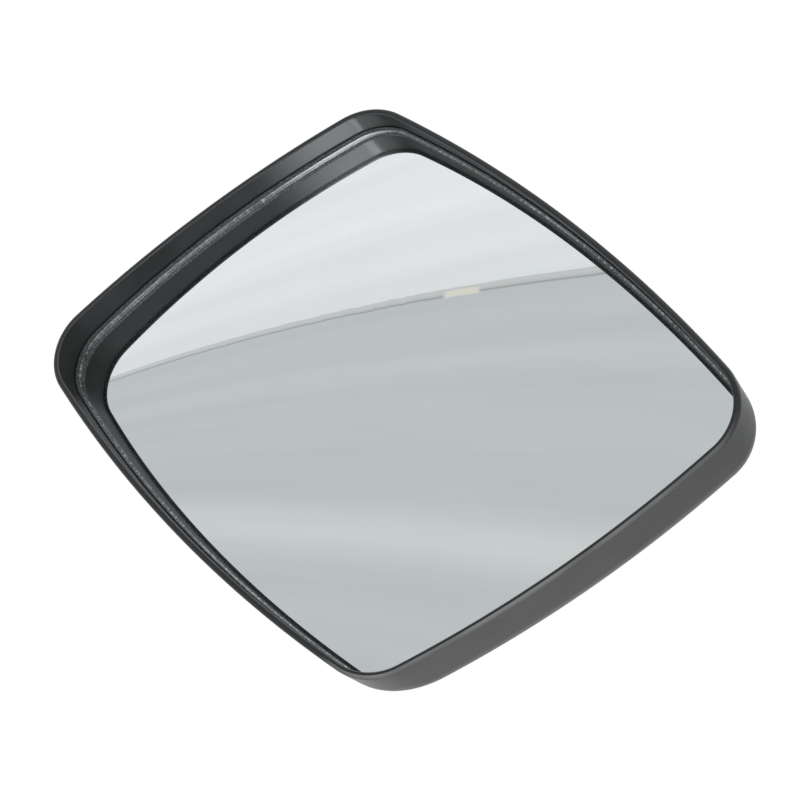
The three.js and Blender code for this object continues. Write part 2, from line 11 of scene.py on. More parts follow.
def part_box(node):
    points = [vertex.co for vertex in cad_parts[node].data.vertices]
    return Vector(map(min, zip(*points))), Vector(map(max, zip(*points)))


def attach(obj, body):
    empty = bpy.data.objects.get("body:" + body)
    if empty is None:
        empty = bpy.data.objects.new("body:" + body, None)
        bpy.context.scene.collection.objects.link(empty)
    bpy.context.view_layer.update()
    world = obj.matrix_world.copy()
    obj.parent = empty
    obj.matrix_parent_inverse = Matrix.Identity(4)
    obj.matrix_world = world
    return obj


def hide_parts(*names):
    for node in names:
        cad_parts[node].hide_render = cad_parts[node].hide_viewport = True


bl_info = {
    "name": "Convex Mirror Head",
    "version": (1, 0, 0),
    "blender": (4, 5, 0),
    "location": "View3D > Sidebar > Mirror Head",
    "description": "Dresses the packed convex mirror head with fine pieces and finishes",
    "category": "Add Mesh",
}

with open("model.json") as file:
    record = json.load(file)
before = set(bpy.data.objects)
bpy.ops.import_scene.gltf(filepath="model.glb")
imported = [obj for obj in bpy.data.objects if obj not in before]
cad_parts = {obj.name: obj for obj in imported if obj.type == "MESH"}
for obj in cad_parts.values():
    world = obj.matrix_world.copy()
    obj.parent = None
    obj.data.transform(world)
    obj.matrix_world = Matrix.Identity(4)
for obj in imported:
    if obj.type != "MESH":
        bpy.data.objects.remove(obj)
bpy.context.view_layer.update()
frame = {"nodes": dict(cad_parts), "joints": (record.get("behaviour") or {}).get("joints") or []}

# The plane of the rim, and the ball's centre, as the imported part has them
RIM_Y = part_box("housing_shell")[0].y
BALL_Y = frame["joints"][0]["pos_m"][1]


# Sizes and colours

def a_length(name, description, metres):
    """A length as a setting; the other kinds of settings follow."""
    return FloatProperty(name=name, description=description, default=metres, unit="LENGTH")


def an_angle(name, description, degrees):
    return FloatProperty(name=name, description=description, default=math.radians(degrees),
                         subtype="ANGLE")


def a_count(name, description, default):
    return IntProperty(name=name, description=description, default=default)


def a_number(name, description, default):
    return FloatProperty(name=name, description=description, default=default)


def a_colour(name, description, default):
    return FloatVectorProperty(name=name, description=description, default=default, size=3,
                               subtype="COLOR", min=0, max=1)


class RimSizes(bpy.types.PropertyGroup):
    long_half: a_length("Long half", "Half of the slanted outline's long side", 0.1225)
    short_half: a_length("Short half", "Half of the slanted outline's short side", 0.0948)
    slant: an_angle("Slant", "Angle between the long and the short sides", 75.5)
    long_bow: a_length("Long bow", "Radius that the long sides bow to", 0.64)
    short_bow: a_length("Short bow", "Radius that the short sides bow to", 0.55)
    sharp_corner: a_length("Sharp corner", "Radius of the two sharp corners", 0.0255)
    blunt_corner: a_length("Blunt corner", "Radius of the two blunt corners", 0.0295)
    long_steps: a_count("Long steps", "Steps along each long side", 34)
    short_steps: a_count("Short steps", "Steps along each short side", 26)
    corner_steps: a_count("Corner steps", "Steps round each corner", 30)


class ShellSizes(bpy.types.PropertyGroup):
    lip_width: a_length("Lip width", "Thickness of the wall at the rim", 0.0018)
    bead_width: a_length("Bead width", "Width of the bead that stiffens the rim", 0.0029)
    bead_depth: a_length("Bead depth", "Depth of the bead behind the rim's plane", 0.0012)
    lip_outer_round: a_length("Lip outer round", "Round on the rim's outer edge", 0.0015)
    lip_inner_round: a_length("Lip inner round", "Round on the rim's inner edge", 0.00045)
    wall: a_length("Wall", "Thickness of the back wall", 0.0024)
    wall_depth: a_length("Wall depth", "Depth at which the straight wall ends", 0.0215)
    draft: a_length("Draft", "How far the straight wall leans in", 0.0009)
    growth_start: a_length("Growth start", "Depth behind which the blunt corners grow rounder",
                           0.0195)
    growth_share: a_number("Growth share", "Growth of the blunt corners' radius with the depth",
                           1.2)
    back_round: a_length("Back round", "Radius between the wall and the back", 0.021)
    round_angle: an_angle("Round angle", "How far the back's round goes", 78)
    crown_rise: a_length("Crown rise", "Rise of the back from its round to the boss", 0.00496)
    ledge: a_length("Ledge", "Width of the ledge behind the glass frame", 0.0042)
    inner_draft: a_length("Inner draft", "How far the inner wall leans in", 0.00015)


class GlassSizes(bpy.types.PropertyGroup):
    curve_radius: a_length("Curve radius", "Radius that the glass is curved to", 1.8)
    recess: a_length("Recess", "Depth of the glass's middle behind the rim", 0.0121)
    thickness: a_length("Thickness", "Thickness of the glass", 0.0025)
    edge_inset: a_length("Edge inset", "Distance of the glass's edge inside the rim", 0.0029)
    bevel: a_length("Bevel", "Width of the ground bevel", 0.0004)
    frame_gap: a_length("Frame gap", "Gap between the inner wall and the glass frame", 0.0002)
    frame_rim: a_length("Frame rim", "Thickness of the glass frame's rim", 0.0005)
    seal_width: a_length("Seal width", "Width of the clear seal between frame and glass", 0.0007)
    seal_height: a_length("Seal height", "Height of the clear seal up the frame's rim", 0.0010)
    frame_height: a_length("Frame height", "How far the frame's rim stands in front of the glass",
                           0.0036)


class SocketSizes(bpy.types.PropertyGroup):
    ball_radius: a_length("Ball radius", "Radius of the ball", 0.013)
    seat_thickness: a_length("Seat thickness", "Thickness of the nylon seat", 0.00215)
    flange_radius: a_length("Flange radius", "Radius of the socket ring's flange", 0.038)
    screw_circle: a_length("Screw circle", "Radius of the circle of ring screws", 0.0305)
    screw_count: a_count("Screw count", "Number of ring screws", 4)
    screw_radius: a_length("Screw radius", "Radius of the ring screws' shanks", 0.0025)
    neck_radius: a_length("Neck radius", "Radius of the ball stud's neck", 0.0055)


class ClampSizes(bpy.types.PropertyGroup):
    arm_radius: a_length("Arm radius", "Radius of the arm that the clamp grips", 0.009)
    half_width: a_length("Half width", "Half of the clamp's width", 0.03)
    half_height: a_length("Half height", "Half of the clamp's height", 0.018)
    edge_round: a_length("Edge round", "Round on the clamp's upright edges", 0.003)
    bolt_spacing: a_length("Bolt spacing", "Distance between the two clamp bolts", 0.042)
    bolt_radius: a_length("Bolt radius", "Radius of the clamp bolts", 0.004)
    bolt_across: a_length("Bolt across flats", "Size of the bolt heads and nuts", 0.013)


class Colours(bpy.types.PropertyGroup):
    plastic: a_colour("Plastic", "Colour of the moulded plastic", (0.0255, 0.0262, 0.027))
    silver: a_colour("Silver", "Tint of the silvered glass", (0.97, 0.975, 0.97))
    zinc: a_colour("Zinc", "Colour of the plated fasteners", (0.56, 0.57, 0.57))
    cast: a_colour("Cast metal", "Colour of the cast ball stud", (0.33, 0.335, 0.34))
    rubber: a_colour("Rubber", "Colour of the gasket and the liners", (0.018, 0.018, 0.018))
    nylon: a_colour("Nylon", "Colour of the ball's seat", (0.72, 0.69, 0.61))


class StageSettings(bpy.types.PropertyGroup):
    lens: a_number("Lens", "Focal length of the camera in millimetres", 99.0)
    floor_drop: a_length("Floor drop", "How far the floor lies under the clamp", 0.5)
    floor_radius: a_length("Floor radius", "Radius of the pale floor", 0.6)
    lamp_power: a_number("Lamp power", "Power of each soft lamp in watts", 4.0)


class MirrorHeadSettings(bpy.types.PropertyGroup):
    rim: PointerProperty(type=RimSizes)
    shell: PointerProperty(type=ShellSizes)
    glass: PointerProperty(type=GlassSizes)
    socket: PointerProperty(type=SocketSizes)
    clamp: PointerProperty(type=ClampSizes)
    colours: PointerProperty(type=Colours)
    stage: PointerProperty(type=StageSettings)


# Clearances between the pieces
SEAL_GAP = 0.0001
SEAT_GAP = 0.0003
SLIDE_GAP = 0.00035

# Lengths that no setting changes: sheets, flanges, heads, radii of holes and bosses, edges
FIXED = SimpleNamespace(
    pad=0.001, plate=0.002, frame_boss=0.0045, post=0.00615, well=0.0041, well_mouth=0.00415,
    frame_hole=0.00225, head_sunk=0.005, head=0.0024, cup=0.0026, cup_flange=0.0025,
    gasket=0.001, flange=0.004, hub=0.00355, hub_top=0.00165, window=0.0116,
    ring_lip=0.0012, ring_hole=0.00285, ring_nut=0.004, ring_nut_across=0.008,
    ring_head=0.0044, ring_head_height=0.003, spring=0.0011, neck=0.02, collar=0.003,
    collar_radius=0.009, shank=0.004, shank_hole=0.00435, stud_nut=0.013, stud_nut_depth=0.006,
    wave=0.001, bore_gap=0.0001, liner=0.0014, liner_flange=0.0015, parting=0.001,
    cap_wall=0.006, washer=0.0016, washer_radius=0.008, nut=0.0065, bolt_head=0.0053,
    block_edge=0.0006, boss_edge=0.003, edge=0.0004)

# How far cutters run past the surfaces they open
PAST, SHORT_PAST = 0.004, 0.003

# The frame screws' places, as shares of the outline's half sides
SCREW_ALONG, SCREW_UP = 0.6, 0.5


def depths(settings):
    """Sizes that follow from the chosen ones, as depths behind the rim and radii."""
    shell, glass, socket, clamp = settings.shell, settings.glass, settings.socket, settings.clamp
    d = SimpleNamespace()
    d.ball = BALL_Y - RIM_Y
    d.back = shell.wall_depth + shell.back_round * math.sin(shell.round_angle) + shell.crown_rise
    d.back_inside = d.back - shell.wall
    d.seat_inner = socket.ball_radius + SLIDE_GAP
    d.seat_outer = d.seat_inner + socket.seat_thickness
    d.socket = d.seat_outer + SLIDE_GAP
    d.cup_outer = d.socket + FIXED.cup
    d.hole = d.cup_outer + SLIDE_GAP
    d.gasket_front = d.back + SEAT_GAP
    d.gasket_back = d.gasket_front + FIXED.gasket
    d.ring_front = d.gasket_back + SEAT_GAP
    d.flange_back = d.ring_front + FIXED.flange
    d.ring_top = d.ball + math.sqrt(d.socket ** 2 - FIXED.window ** 2) + FIXED.ring_lip
    d.washer_front = d.flange_back + SEAT_GAP
    d.ring_seat = d.washer_front + FIXED.spring + SEAT_GAP
    d.nut_back = d.back_inside - SEAT_GAP - FIXED.cup_flange - SEAT_GAP
    d.frame_head_back = d.back - FIXED.head_sunk
    d.frame_seat = d.frame_head_back - FIXED.head
    d.post_floor = d.frame_seat - SEAT_GAP
    d.post_front = d.post_floor - shell.wall
    d.collar = d.ball + FIXED.neck
    d.collar_back = d.collar + FIXED.collar
    d.clamp_front = d.collar_back + FIXED.wave + 2 * SEAT_GAP
    d.arm = -RIM_Y
    d.groove = clamp.arm_radius + FIXED.bore_gap + FIXED.liner + SEAT_GAP
    d.base_back = d.arm - FIXED.parting
    d.cap_front = d.arm + FIXED.parting
    d.cap_back = d.arm + d.groove + FIXED.cap_wall
    d.clamp_washer = d.cap_back + SEAT_GAP
    d.bolt_seat = d.clamp_washer + FIXED.washer + SEAT_GAP
    d.clamp_nut = d.clamp_front + SEAT_GAP
    d.clamp_nut_back = d.clamp_nut + FIXED.nut
    d.plate_front = glass.thickness + SEAT_GAP + FIXED.pad + SEAT_GAP
    d.plate_back = d.plate_front + FIXED.plate
    d.ledge_front = d.plate_back + SEAT_GAP
    d.bolt_hole = clamp.bolt_radius + SLIDE_GAP
    d.bolts = [(-clamp.bolt_spacing / 2, 0.0), (clamp.bolt_spacing / 2, 0.0)]
    d.ring_screws = polar_points(socket.screw_circle, socket.screw_count)
    d.frame_screws = slanted_points(settings.rim)
    return d


def whole_turn(count):
    """Angles round a whole turn in even steps."""
    return [2 * math.pi * i / count for i in range(count)]


def quarter_turn(steps):
    """Angles over a quarter turn in even steps, with both ends."""
    return [math.pi / 2 * k / steps for k in range(steps + 1)]


def polar_points(radius, count):
    """Points on a circle, the first of them half a step round."""
    angles = [2 * math.pi * (i + 0.5) / count for i in range(count)]
    return [(radius * math.cos(a), radius * math.sin(a)) for a in angles]


def slanted_points(rim):
    """The frame screws' places, at the corners of a slanted rectangle."""
    points = []
    for side, end in ((1, 1), (-1, 1), (-1, -1), (1, -1)):
        rise = end * SCREW_UP * rim.short_half
        x = side * SCREW_ALONG * rim.long_half + rise * math.cos(rim.slant)
        points.append((x, rise * math.sin(rim.slant)))
    return points


# Meshes

def add_piece(name, vertices, faces, face_slots=None):
    """A closed piece from plain points and faces, with its normals pointing out."""
    mesh = bpy.data.meshes.new(name)
    mesh.from_pydata([tuple(v) for v in vertices], [], faces)
    if face_slots:
        mesh.polygons.foreach_set("material_index", face_slots)
    shape = bmesh.new()
    shape.from_mesh(mesh)
    bmesh.ops.recalc_face_normals(shape, faces=shape.faces)
    shape.to_mesh(mesh)
    shape.free()
    piece = bpy.data.objects.new(name, mesh)
    bpy.context.scene.collection.objects.link(piece)
    return piece


def settle(piece):
    """Turn what the modifiers make of a piece into its own plain mesh."""
    graph = bpy.context.evaluated_depsgraph_get()
    shown = piece.evaluated_get(graph)
    mesh = bpy.data.meshes.new_from_object(shown, preserve_all_data_layers=True, depsgraph=graph)
    before = piece.data
    piece.modifiers.clear()
    piece.data = mesh
    bpy.data.meshes.remove(before)
    mesh.name = piece.name


def drop(piece):
    """Remove a piece that has done its work."""
    mesh = piece.data
    bpy.data.objects.remove(piece)
    bpy.data.meshes.remove(mesh)


def carve(piece, tool, operation="DIFFERENCE"):
    """Cut a piece with a tool, or join the tool to it, and drop the tool."""
    change = piece.modifiers.new("Carve", "BOOLEAN")
    change.object = tool
    change.operation = operation
    change.solver = "EXACT"
    settle(piece)
    drop(tool)


def bore(piece, radius, start, end, sides, spots=((0.0, 0.0),), phase=0.0,
         operation="DIFFERENCE"):
    """Cut a hole between two depths at each spot, or join a post there."""
    tool = turned("tool", rod(radius, start, end), sides, False, spots, phase)
    carve(piece, tool, operation)


def round_edges(piece, width):
    """Round the edges that turn by more than 40 degrees."""
    edge = piece.modifiers.new("Edge round", "BEVEL")
    edge.width = width
    edge.segments = 3
    edge.limit_method = "ANGLE"
    edge.angle_limit = math.radians(40)
    edge.miter_outer = "MITER_ARC"
    edge.use_clamp_overlap = True
    settle(piece)


def finish(piece, angle, body, slot, nodes, *materials):
    """Shade a piece smooth up to an angle between its faces, and give it its materials, the
    body it rides on and the nodes it stands for."""
    piece.data.shade_smooth()
    piece.data.set_sharp_from_angle(angle=math.radians(angle))
    weighted = piece.modifiers.new("Flat faces stay flat", "WEIGHTED_NORMAL")
    weighted.keep_sharp = True
    settle(piece)
    for material in materials:
        piece.data.materials.append(material)
    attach(piece, body)
    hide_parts(*nodes)


def paint_nodes(material, *names):
    """Put a finish on CAD nodes whose shapes stay."""
    for name in names:
        for slot in frame["nodes"][name].material_slots:
            slot.material = material


def numbered(name):
    """The names of four like nodes."""
    return [f"{name}_{i}" for i in range(1, 5)]


def quads(rows, count, closed):
    """Four-sided faces between each row of points and the next, each row being a loop."""
    faces = []
    for k in range(rows if closed else rows - 1):
        a, b = k * count, (k + 1) % rows * count
        for i in range(count):
            j = (i + 1) % count
            faces.append((a + i, b + i, b + j, a + j))
    return faces


def capped(rows, count):
    """Faces between the rows, and one over the first and one over the last row."""
    ends = [tuple(range(count)), tuple(range((rows - 1) * count, rows * count))]
    return quads(rows, count, False) + ends


def prism(name, first, second):
    """A closed piece between two like loops of points."""
    count = len(first)
    faces = [(i, (i + 1) % count, count + (i + 1) % count, count + i) for i in range(count)]
    faces += [tuple(range(count)), tuple(range(count, 2 * count))]
    return add_piece(name, first + second, faces)


# The most of a profile's side that a fillet may take up
FILLET_SHARE = 0.48


def rounded(corners, closed=True, steps=4):
    """Profile corners (radius, depth, fillet) with each fillet drawn as an arc."""
    points = []
    count = len(corners)
    for i, (radius, depth, fillet) in enumerate(corners):
        here = Vector((radius, depth))
        if fillet <= 0 or (not closed and i in (0, count - 1)):
            points.append(here)
            continue
        to_last = Vector(corners[i - 1][:2]) - here
        to_next = Vector(corners[(i + 1) % count][:2]) - here
        angle = to_last.angle(to_next)
        longest = FILLET_SHARE * min(to_last.length, to_next.length)
        reach = min(fillet / math.tan(angle / 2), longest)
        last, following = to_last.normalized(), to_next.normalized()
        arm = reach / math.cos(angle / 2)
        centre = here + (last + following).normalized() * arm
        start = here + last * reach - centre
        end = here + following * reach - centre
        turn = start.angle(end)
        for k in range(steps + 1):
            share = k / steps
            first = math.sin((1 - share) * turn) / math.sin(turn)
            second = math.sin(share * turn) / math.sin(turn)
            points.append(centre + start * first + end * second)
    return points


def ball_arc(radius, start, end, steps=24):
    """Points of an arc about the ball's centre, with angles from the rear pole."""
    middle = BALL_Y - RIM_Y
    points = []
    for i in range(steps + 1):
        angle = start + (end - start) * i / steps
        points.append(Vector((radius * math.sin(angle), middle + radius * math.cos(angle))))
    return points


def around(radius, angle, depth, x=0.0, z=0.0):
    """A point about an axis along Y, at a depth behind the rim."""
    return x + radius * math.cos(angle), RIM_Y + depth, z + radius * math.sin(angle)


def turned_mesh(profile, sides, closed, x=0.0, z=0.0, phase=0.0):
    """Points and faces of a turned shape about an axis along Y, with single points on it."""
    vertices, rows, smallest = [], [], 1e-7
    for radius, depth in profile:
        if radius < smallest:
            vertices.append((x, RIM_Y + depth, z))
            rows.append([len(vertices) - 1] * sides)
            continue
        rows.append(range(len(vertices), len(vertices) + sides))
        vertices += [around(radius, phase + angle, depth, x, z) for angle in whole_turn(sides)]
    faces = []
    for k in range(len(rows) if closed else len(rows) - 1):
        a, b = rows[k], rows[(k + 1) % len(rows)]
        for i in range(sides):
            j = (i + 1) % sides
            face = list(dict.fromkeys((a[i], b[i], b[j], a[j])))
            if len(face) > 2:
                faces.append(face)
    return vertices, faces


def turned(name, profile, sides=96, closed=True, spots=((0.0, 0.0),), phase=0.0):
    """A turned piece, or one object that holds a copy of it at each spot."""
    vertices, faces = [], []
    for x, z in spots:
        more, rings = turned_mesh(profile, sides, closed, x, z, phase)
        start = len(vertices)
        vertices.extend(more)
        faces.extend([start + i for i in face] for face in rings)
    return add_piece(name, vertices, faces)


def rod(radius, start, end):
    """The profile of a plain round bar between two depths."""
    return [Vector((0, start)), Vector((radius, start)), Vector((radius, end)), Vector((0, end))]


# The slanted outline and the rings that follow it

def bow_centre(first, second, radius):
    """Centre of the arc that joins two corners with a bow outwards."""
    middle = (first + second) / 2
    along = second - first
    half = along.length / 2
    inwards = Vector((-along.y, along.x)).normalized()
    return middle + inwards * math.sqrt(radius ** 2 - half ** 2)


def round_centre(side, following, corner, radius):
    """Centre of the round that touches two bowed sides, the one nearest to their corner."""
    reach_a, reach_b = side[1] - radius, following[1] - radius
    span = following[0] - side[0]
    length = span.length
    along = (length ** 2 + reach_a ** 2 - reach_b ** 2) / (2 * length)
    across = math.sqrt(reach_a ** 2 - along ** 2)
    unit = span.normalized()
    foot = side[0] + unit * along
    normal = Vector((-unit.y, unit.x))
    choices = [foot + normal * across, foot - normal * across]
    return min(choices, key=lambda point: (point - corner).length)


def outline(rim, growth=0.0):
    """Stations round the rim, each an arc's centre, its radius and the way out."""
    across = Vector((rim.long_half, 0))
    up = Vector((math.cos(rim.slant), math.sin(rim.slant))) * rim.short_half
    corners = [across - up, across + up, up - across, -across - up]
    blunt = rim.blunt_corner + growth
    rounds = [blunt, rim.sharp_corner, blunt, rim.sharp_corner]
    bows = [rim.short_bow, rim.long_bow, rim.short_bow, rim.long_bow]
    steps = [rim.short_steps, rim.long_steps, rim.short_steps, rim.long_steps]
    sides = [(bow_centre(corners[i], corners[(i + 1) % 4], bows[i]), bows[i]) for i in range(4)]
    turns = []
    for i in range(4):
        following = (i + 1) % 4
        centre = round_centre(sides[i], sides[following], corners[following], rounds[following])
        turns.append((centre, rounds[following]))

    def bearing(start, end):
        return math.atan2(end.y - start.y, end.x - start.x)

    stations = []
    for i in range(4):
        side, before, after = sides[i], turns[i - 1], turns[i]
        following = sides[(i + 1) % 4]
        start = bearing(side[0], before[0])
        middle = bearing(side[0], after[0])
        end = bearing(following[0], after[0])
        for (centre, radius), a, b, count in (
                (side, start, middle, steps[i]), (after, middle, end, rim.corner_steps)):
            turn = (b - a) % (2 * math.pi)
            for k in range(count):
                angle = a + turn * k / count
                stations.append((centre, radius, Vector((math.cos(angle), math.sin(angle)))))
    return stations


class Rings:
    """Rings round the head's outline, as lists of points."""

    def __init__(self, settings):
        self.settings = settings
        self.known = {}
        rim = settings.rim
        first = rim.short_steps + rim.corner_steps + rim.long_steps
        self.blunt = first + rim.corner_steps // 2

    def growth(self, depth):
        """Growth of the blunt corners' radius, which sets in softly behind the glass."""
        shell = self.settings.shell
        past = depth - shell.growth_start
        ease = 0.002
        if past <= -ease:
            return 0.0
        if past < ease:
            return shell.growth_share * (past + ease) ** 2 / (4 * ease)
        return shell.growth_share * past

    def points(self, inset, depth):
        """The outline's points at a depth, set in by a width."""
        growth = round(self.growth(depth), 7)
        if growth not in self.known:
            self.known[growth] = outline(self.settings.rim, growth)
        return [centre + out * (radius - inset) for centre, radius, out in self.known[growth]]

    def flat(self, inset, depth):
        """A ring in one plane."""
        return [(p.x, RIM_Y + depth, p.y) for p in self.points(inset, depth)]

    def blend(self, inset, start_depth, circle, share, depth):
        """A ring part of the way from the outline to a circle."""
        ring = [p.lerp(p.normalized() * circle, share) for p in self.points(inset, start_depth)]
        return [(p.x, RIM_Y + depth, p.y) for p in ring]

    def domed(self, inset, behind, share=1.0):
        """A ring that follows the glass at a distance behind its face."""
        glass = self.settings.glass

        def depth_at(point):
            return glass.recess + point.length_squared / (2 * glass.curve_radius) + behind

        corner = self.points(inset, 0)[self.blunt]
        ring = [p * share for p in self.points(inset, depth_at(corner))]
        return [(p.x, RIM_Y + depth_at(p), p.y) for p in ring]


def loft(name, rings, ends=None, band_slots=None, materials=()):
    """Skin over rings in order: a closed loop of rings, or one closed by two end points."""
    count, last = len(rings[0]), (len(rings) - 1) * len(rings[0])
    vertices = [point for ring in rings for point in ring]
    faces = quads(len(rings), count, not ends)
    slots = [band_slots[k // count] if band_slots else 0 for k in range(len(faces))]
    if ends:
        vertices += ends
        for i in range(count):
            j = (i + 1) % count
            faces += [(len(vertices) - 2, i, j), (len(vertices) - 1, last + j, last + i)]
            slots += [0, 0]
    piece = add_piece(name, vertices, faces, slots)
    for material in materials:
        piece.data.materials.append(material)
    return piece


# Node helpers

def link(tree, source, target):
    """Link one node's output to another's input."""
    tree.links.new(source, target)


def put(tree, kind, inputs=None, **attributes):
    """A node with its attributes, and its inputs linked to sockets or set to values."""
    made = tree.nodes.new(kind)
    for name, value in attributes.items():
        setattr(made, name, value)
    for key, value in (inputs or {}).items():
        if isinstance(value, bpy.types.NodeSocket):
            link(tree, value, made.inputs[key])
        else:
            made.inputs[key].default_value = value
    return made


def maths(tree, operation, first, second, third=None):
    """The output of a maths node."""
    inputs = {0: first, 1: second}
    if third is not None:
        inputs[2] = third
    return put(tree, "ShaderNodeMath", inputs, operation=operation).outputs[0]


def times(tree, first, second):
    """The product of two values."""
    return maths(tree, "MULTIPLY", first, second)


def ranged(tree, value, low, high, to_low=0.0, to_high=1.0, smooth=False):
    """A value between low and high, moved to another range and held at its ends."""
    return put(tree, "ShaderNodeMapRange",
               {"Value": value, "From Min": low, "From Max": high, "To Min": to_low,
                "To Max": to_high},
               interpolation_type="SMOOTHSTEP" if smooth else "LINEAR").outputs["Result"]


def noise(tree, place, scale, detail=2.0, roughness=0.5):
    """Soft noise from 0 to 1 over a place."""
    return put(tree, "ShaderNodeTexNoise",
               {"Vector": place, "Scale": scale, "Detail": detail,
                "Roughness": roughness}).outputs["Fac"]


def object_place(tree):
    """The place in the piece's own frame, which moves with it."""
    return put(tree, "ShaderNodeTexCoord").outputs["Object"]


def axes(tree, vector):
    """The three parts of a vector, as outputs X, Y and Z."""
    return put(tree, "ShaderNodeSeparateXYZ", {"Vector": vector}).outputs


def toward(tree, way, axis):
    """How far a vector goes along an axis."""
    return put(tree, "ShaderNodeVectorMath", {0: way, 1: axis},
               operation="DOT_PRODUCT").outputs["Value"]


def scaled(tree, vector, factor):
    """A vector or a colour made longer or stronger."""
    return put(tree, "ShaderNodeVectorMath", {0: vector, "Scale": factor},
               operation="SCALE").outputs[0]


def mix_colour(tree, share, first, second):
    """A colour between two, each of them a socket or a plain colour."""
    inputs = {0: share}
    for index, value in ((6, first), (7, second)):
        linked = isinstance(value, bpy.types.NodeSocket)
        inputs[index] = value if linked else (*tuple(value)[:3], 1.0)
    return put(tree, "ShaderNodeMix", inputs, data_type="RGBA").outputs[2]


FLOAT = "NodeSocketFloat"
GEOMETRY = "NodeSocketGeometry"
MATERIAL = "NodeSocketMaterial"


def named_tree(name, kind, inputs, outputs):
    """A tree with named inputs and outputs, and its nodes for both ends."""
    tree = bpy.data.node_groups.new(name, kind)
    for label, socket, value in inputs:
        made = tree.interface.new_socket(label, in_out="INPUT", socket_type=socket)
        if value is not None:
            made.default_value = value
    for label, socket in outputs:
        tree.interface.new_socket(label, in_out="OUTPUT", socket_type=socket)
    return tree, tree.nodes.new("NodeGroupInput"), tree.nodes.new("NodeGroupOutput")


def set_inputs(piece, tree, values):
    """Add the tree to a piece, with its inputs set by their identifiers."""
    change = piece.modifiers.new(tree.name, "NODES")
    change.node_group = tree
    known = {item.name: item.identifier for item in tree.interface.items_tree
             if item.item_type == "SOCKET" and item.in_out == "INPUT"}
    for label, value in values.items():
        change[known[label]] = value


def give(tree, end, values):
    """Link a tree's results to its outputs by their labels."""
    for label, value in values.items():
        link(tree, value, end.inputs[label])


# Shared shader effects

def grain_group():
    """Fine moulded grain: a height for bumps and a slow tone that varies the finish."""
    found = bpy.data.node_groups.get("Moulded Grain")
    if found:
        return found
    tree, start, end = named_tree(
        "Moulded Grain", "ShaderNodeTree",
        [("Grain Size", FLOAT, 0.0007), ("Pit Share", FLOAT, 0.35)],
        [("Height", FLOAT), ("Tone", FLOAT), ("Speck", FLOAT)])
    place = object_place(tree)
    scale = maths(tree, "DIVIDE", 1.0, start.outputs["Grain Size"])
    fine = noise(tree, place, scale, detail=3.0, roughness=0.6)
    pits = put(tree, "ShaderNodeTexVoronoi",
               {"Vector": place, "Scale": times(tree, scale, 0.8)}, feature="SMOOTH_F1")
    slow = noise(tree, place, 34.0, detail=4.0, roughness=0.55)
    dip = times(tree, pits.outputs["Distance"], start.outputs["Pit Share"])
    give(tree, end, {"Height": maths(tree, "ADD", fine, dip),
                     "Tone": ranged(tree, slow, 0.3, 0.7),
                     "Speck": ranged(tree, fine, 0.5, 0.72)})
    return tree


def wear_group():
    """Marks of use: thin scuffs in one slanted direction, and dust in soft patches."""
    found = bpy.data.node_groups.get("Marks Of Use")
    if found:
        return found
    tree, start, end = named_tree(
        "Marks Of Use", "ShaderNodeTree",
        [("Scuff Size", FLOAT, 0.004), ("Dust Size", FLOAT, 0.02)],
        [("Scuff", FLOAT), ("Dust", FLOAT)])
    place = object_place(tree)
    slanted = put(tree, "ShaderNodeMapping",
                  {"Vector": place, "Rotation": (0.3, 0.5, 0.7), "Scale": (1.0, 9.0, 7.0)})
    scuff_scale = maths(tree, "DIVIDE", 1.0, start.outputs["Scuff Size"])
    scuffs = noise(tree, slanted.outputs["Vector"], scuff_scale, roughness=0.4)
    dust_scale = maths(tree, "DIVIDE", 1.0, start.outputs["Dust Size"])
    patches = noise(tree, place, dust_scale, detail=5.0, roughness=0.65)
    facing = axes(tree, put(tree, "ShaderNodeNewGeometry").outputs["Normal"])
    upwards = ranged(tree, facing["Z"], -0.2, 1.0, 0.15, 1.0)
    give(tree, end, {"Scuff": ranged(tree, scuffs, 0.62, 0.78),
                     "Dust": times(tree, ranged(tree, patches, 0.42, 0.75), upwards)})
    return tree


def shade(colour, factor):
    """A colour made darker or lighter."""
    return tuple(min(1.0, c * factor) for c in tuple(colour)[:3])


def tones(colour, light, dark):
    """The light and the dark tone of a finish."""
    return shade(colour, light), shade(colour, dark)


def new_material(name):
    """A new material, its tree and its Principled shader."""
    material = bpy.data.materials.new(name)
    material.use_nodes = True
    return material, material.node_tree, material.node_tree.nodes["Principled BSDF"]


DUST_COLOUR = (0.42, 0.4, 0.37)
DUST_ROUGHNESS = 0.4


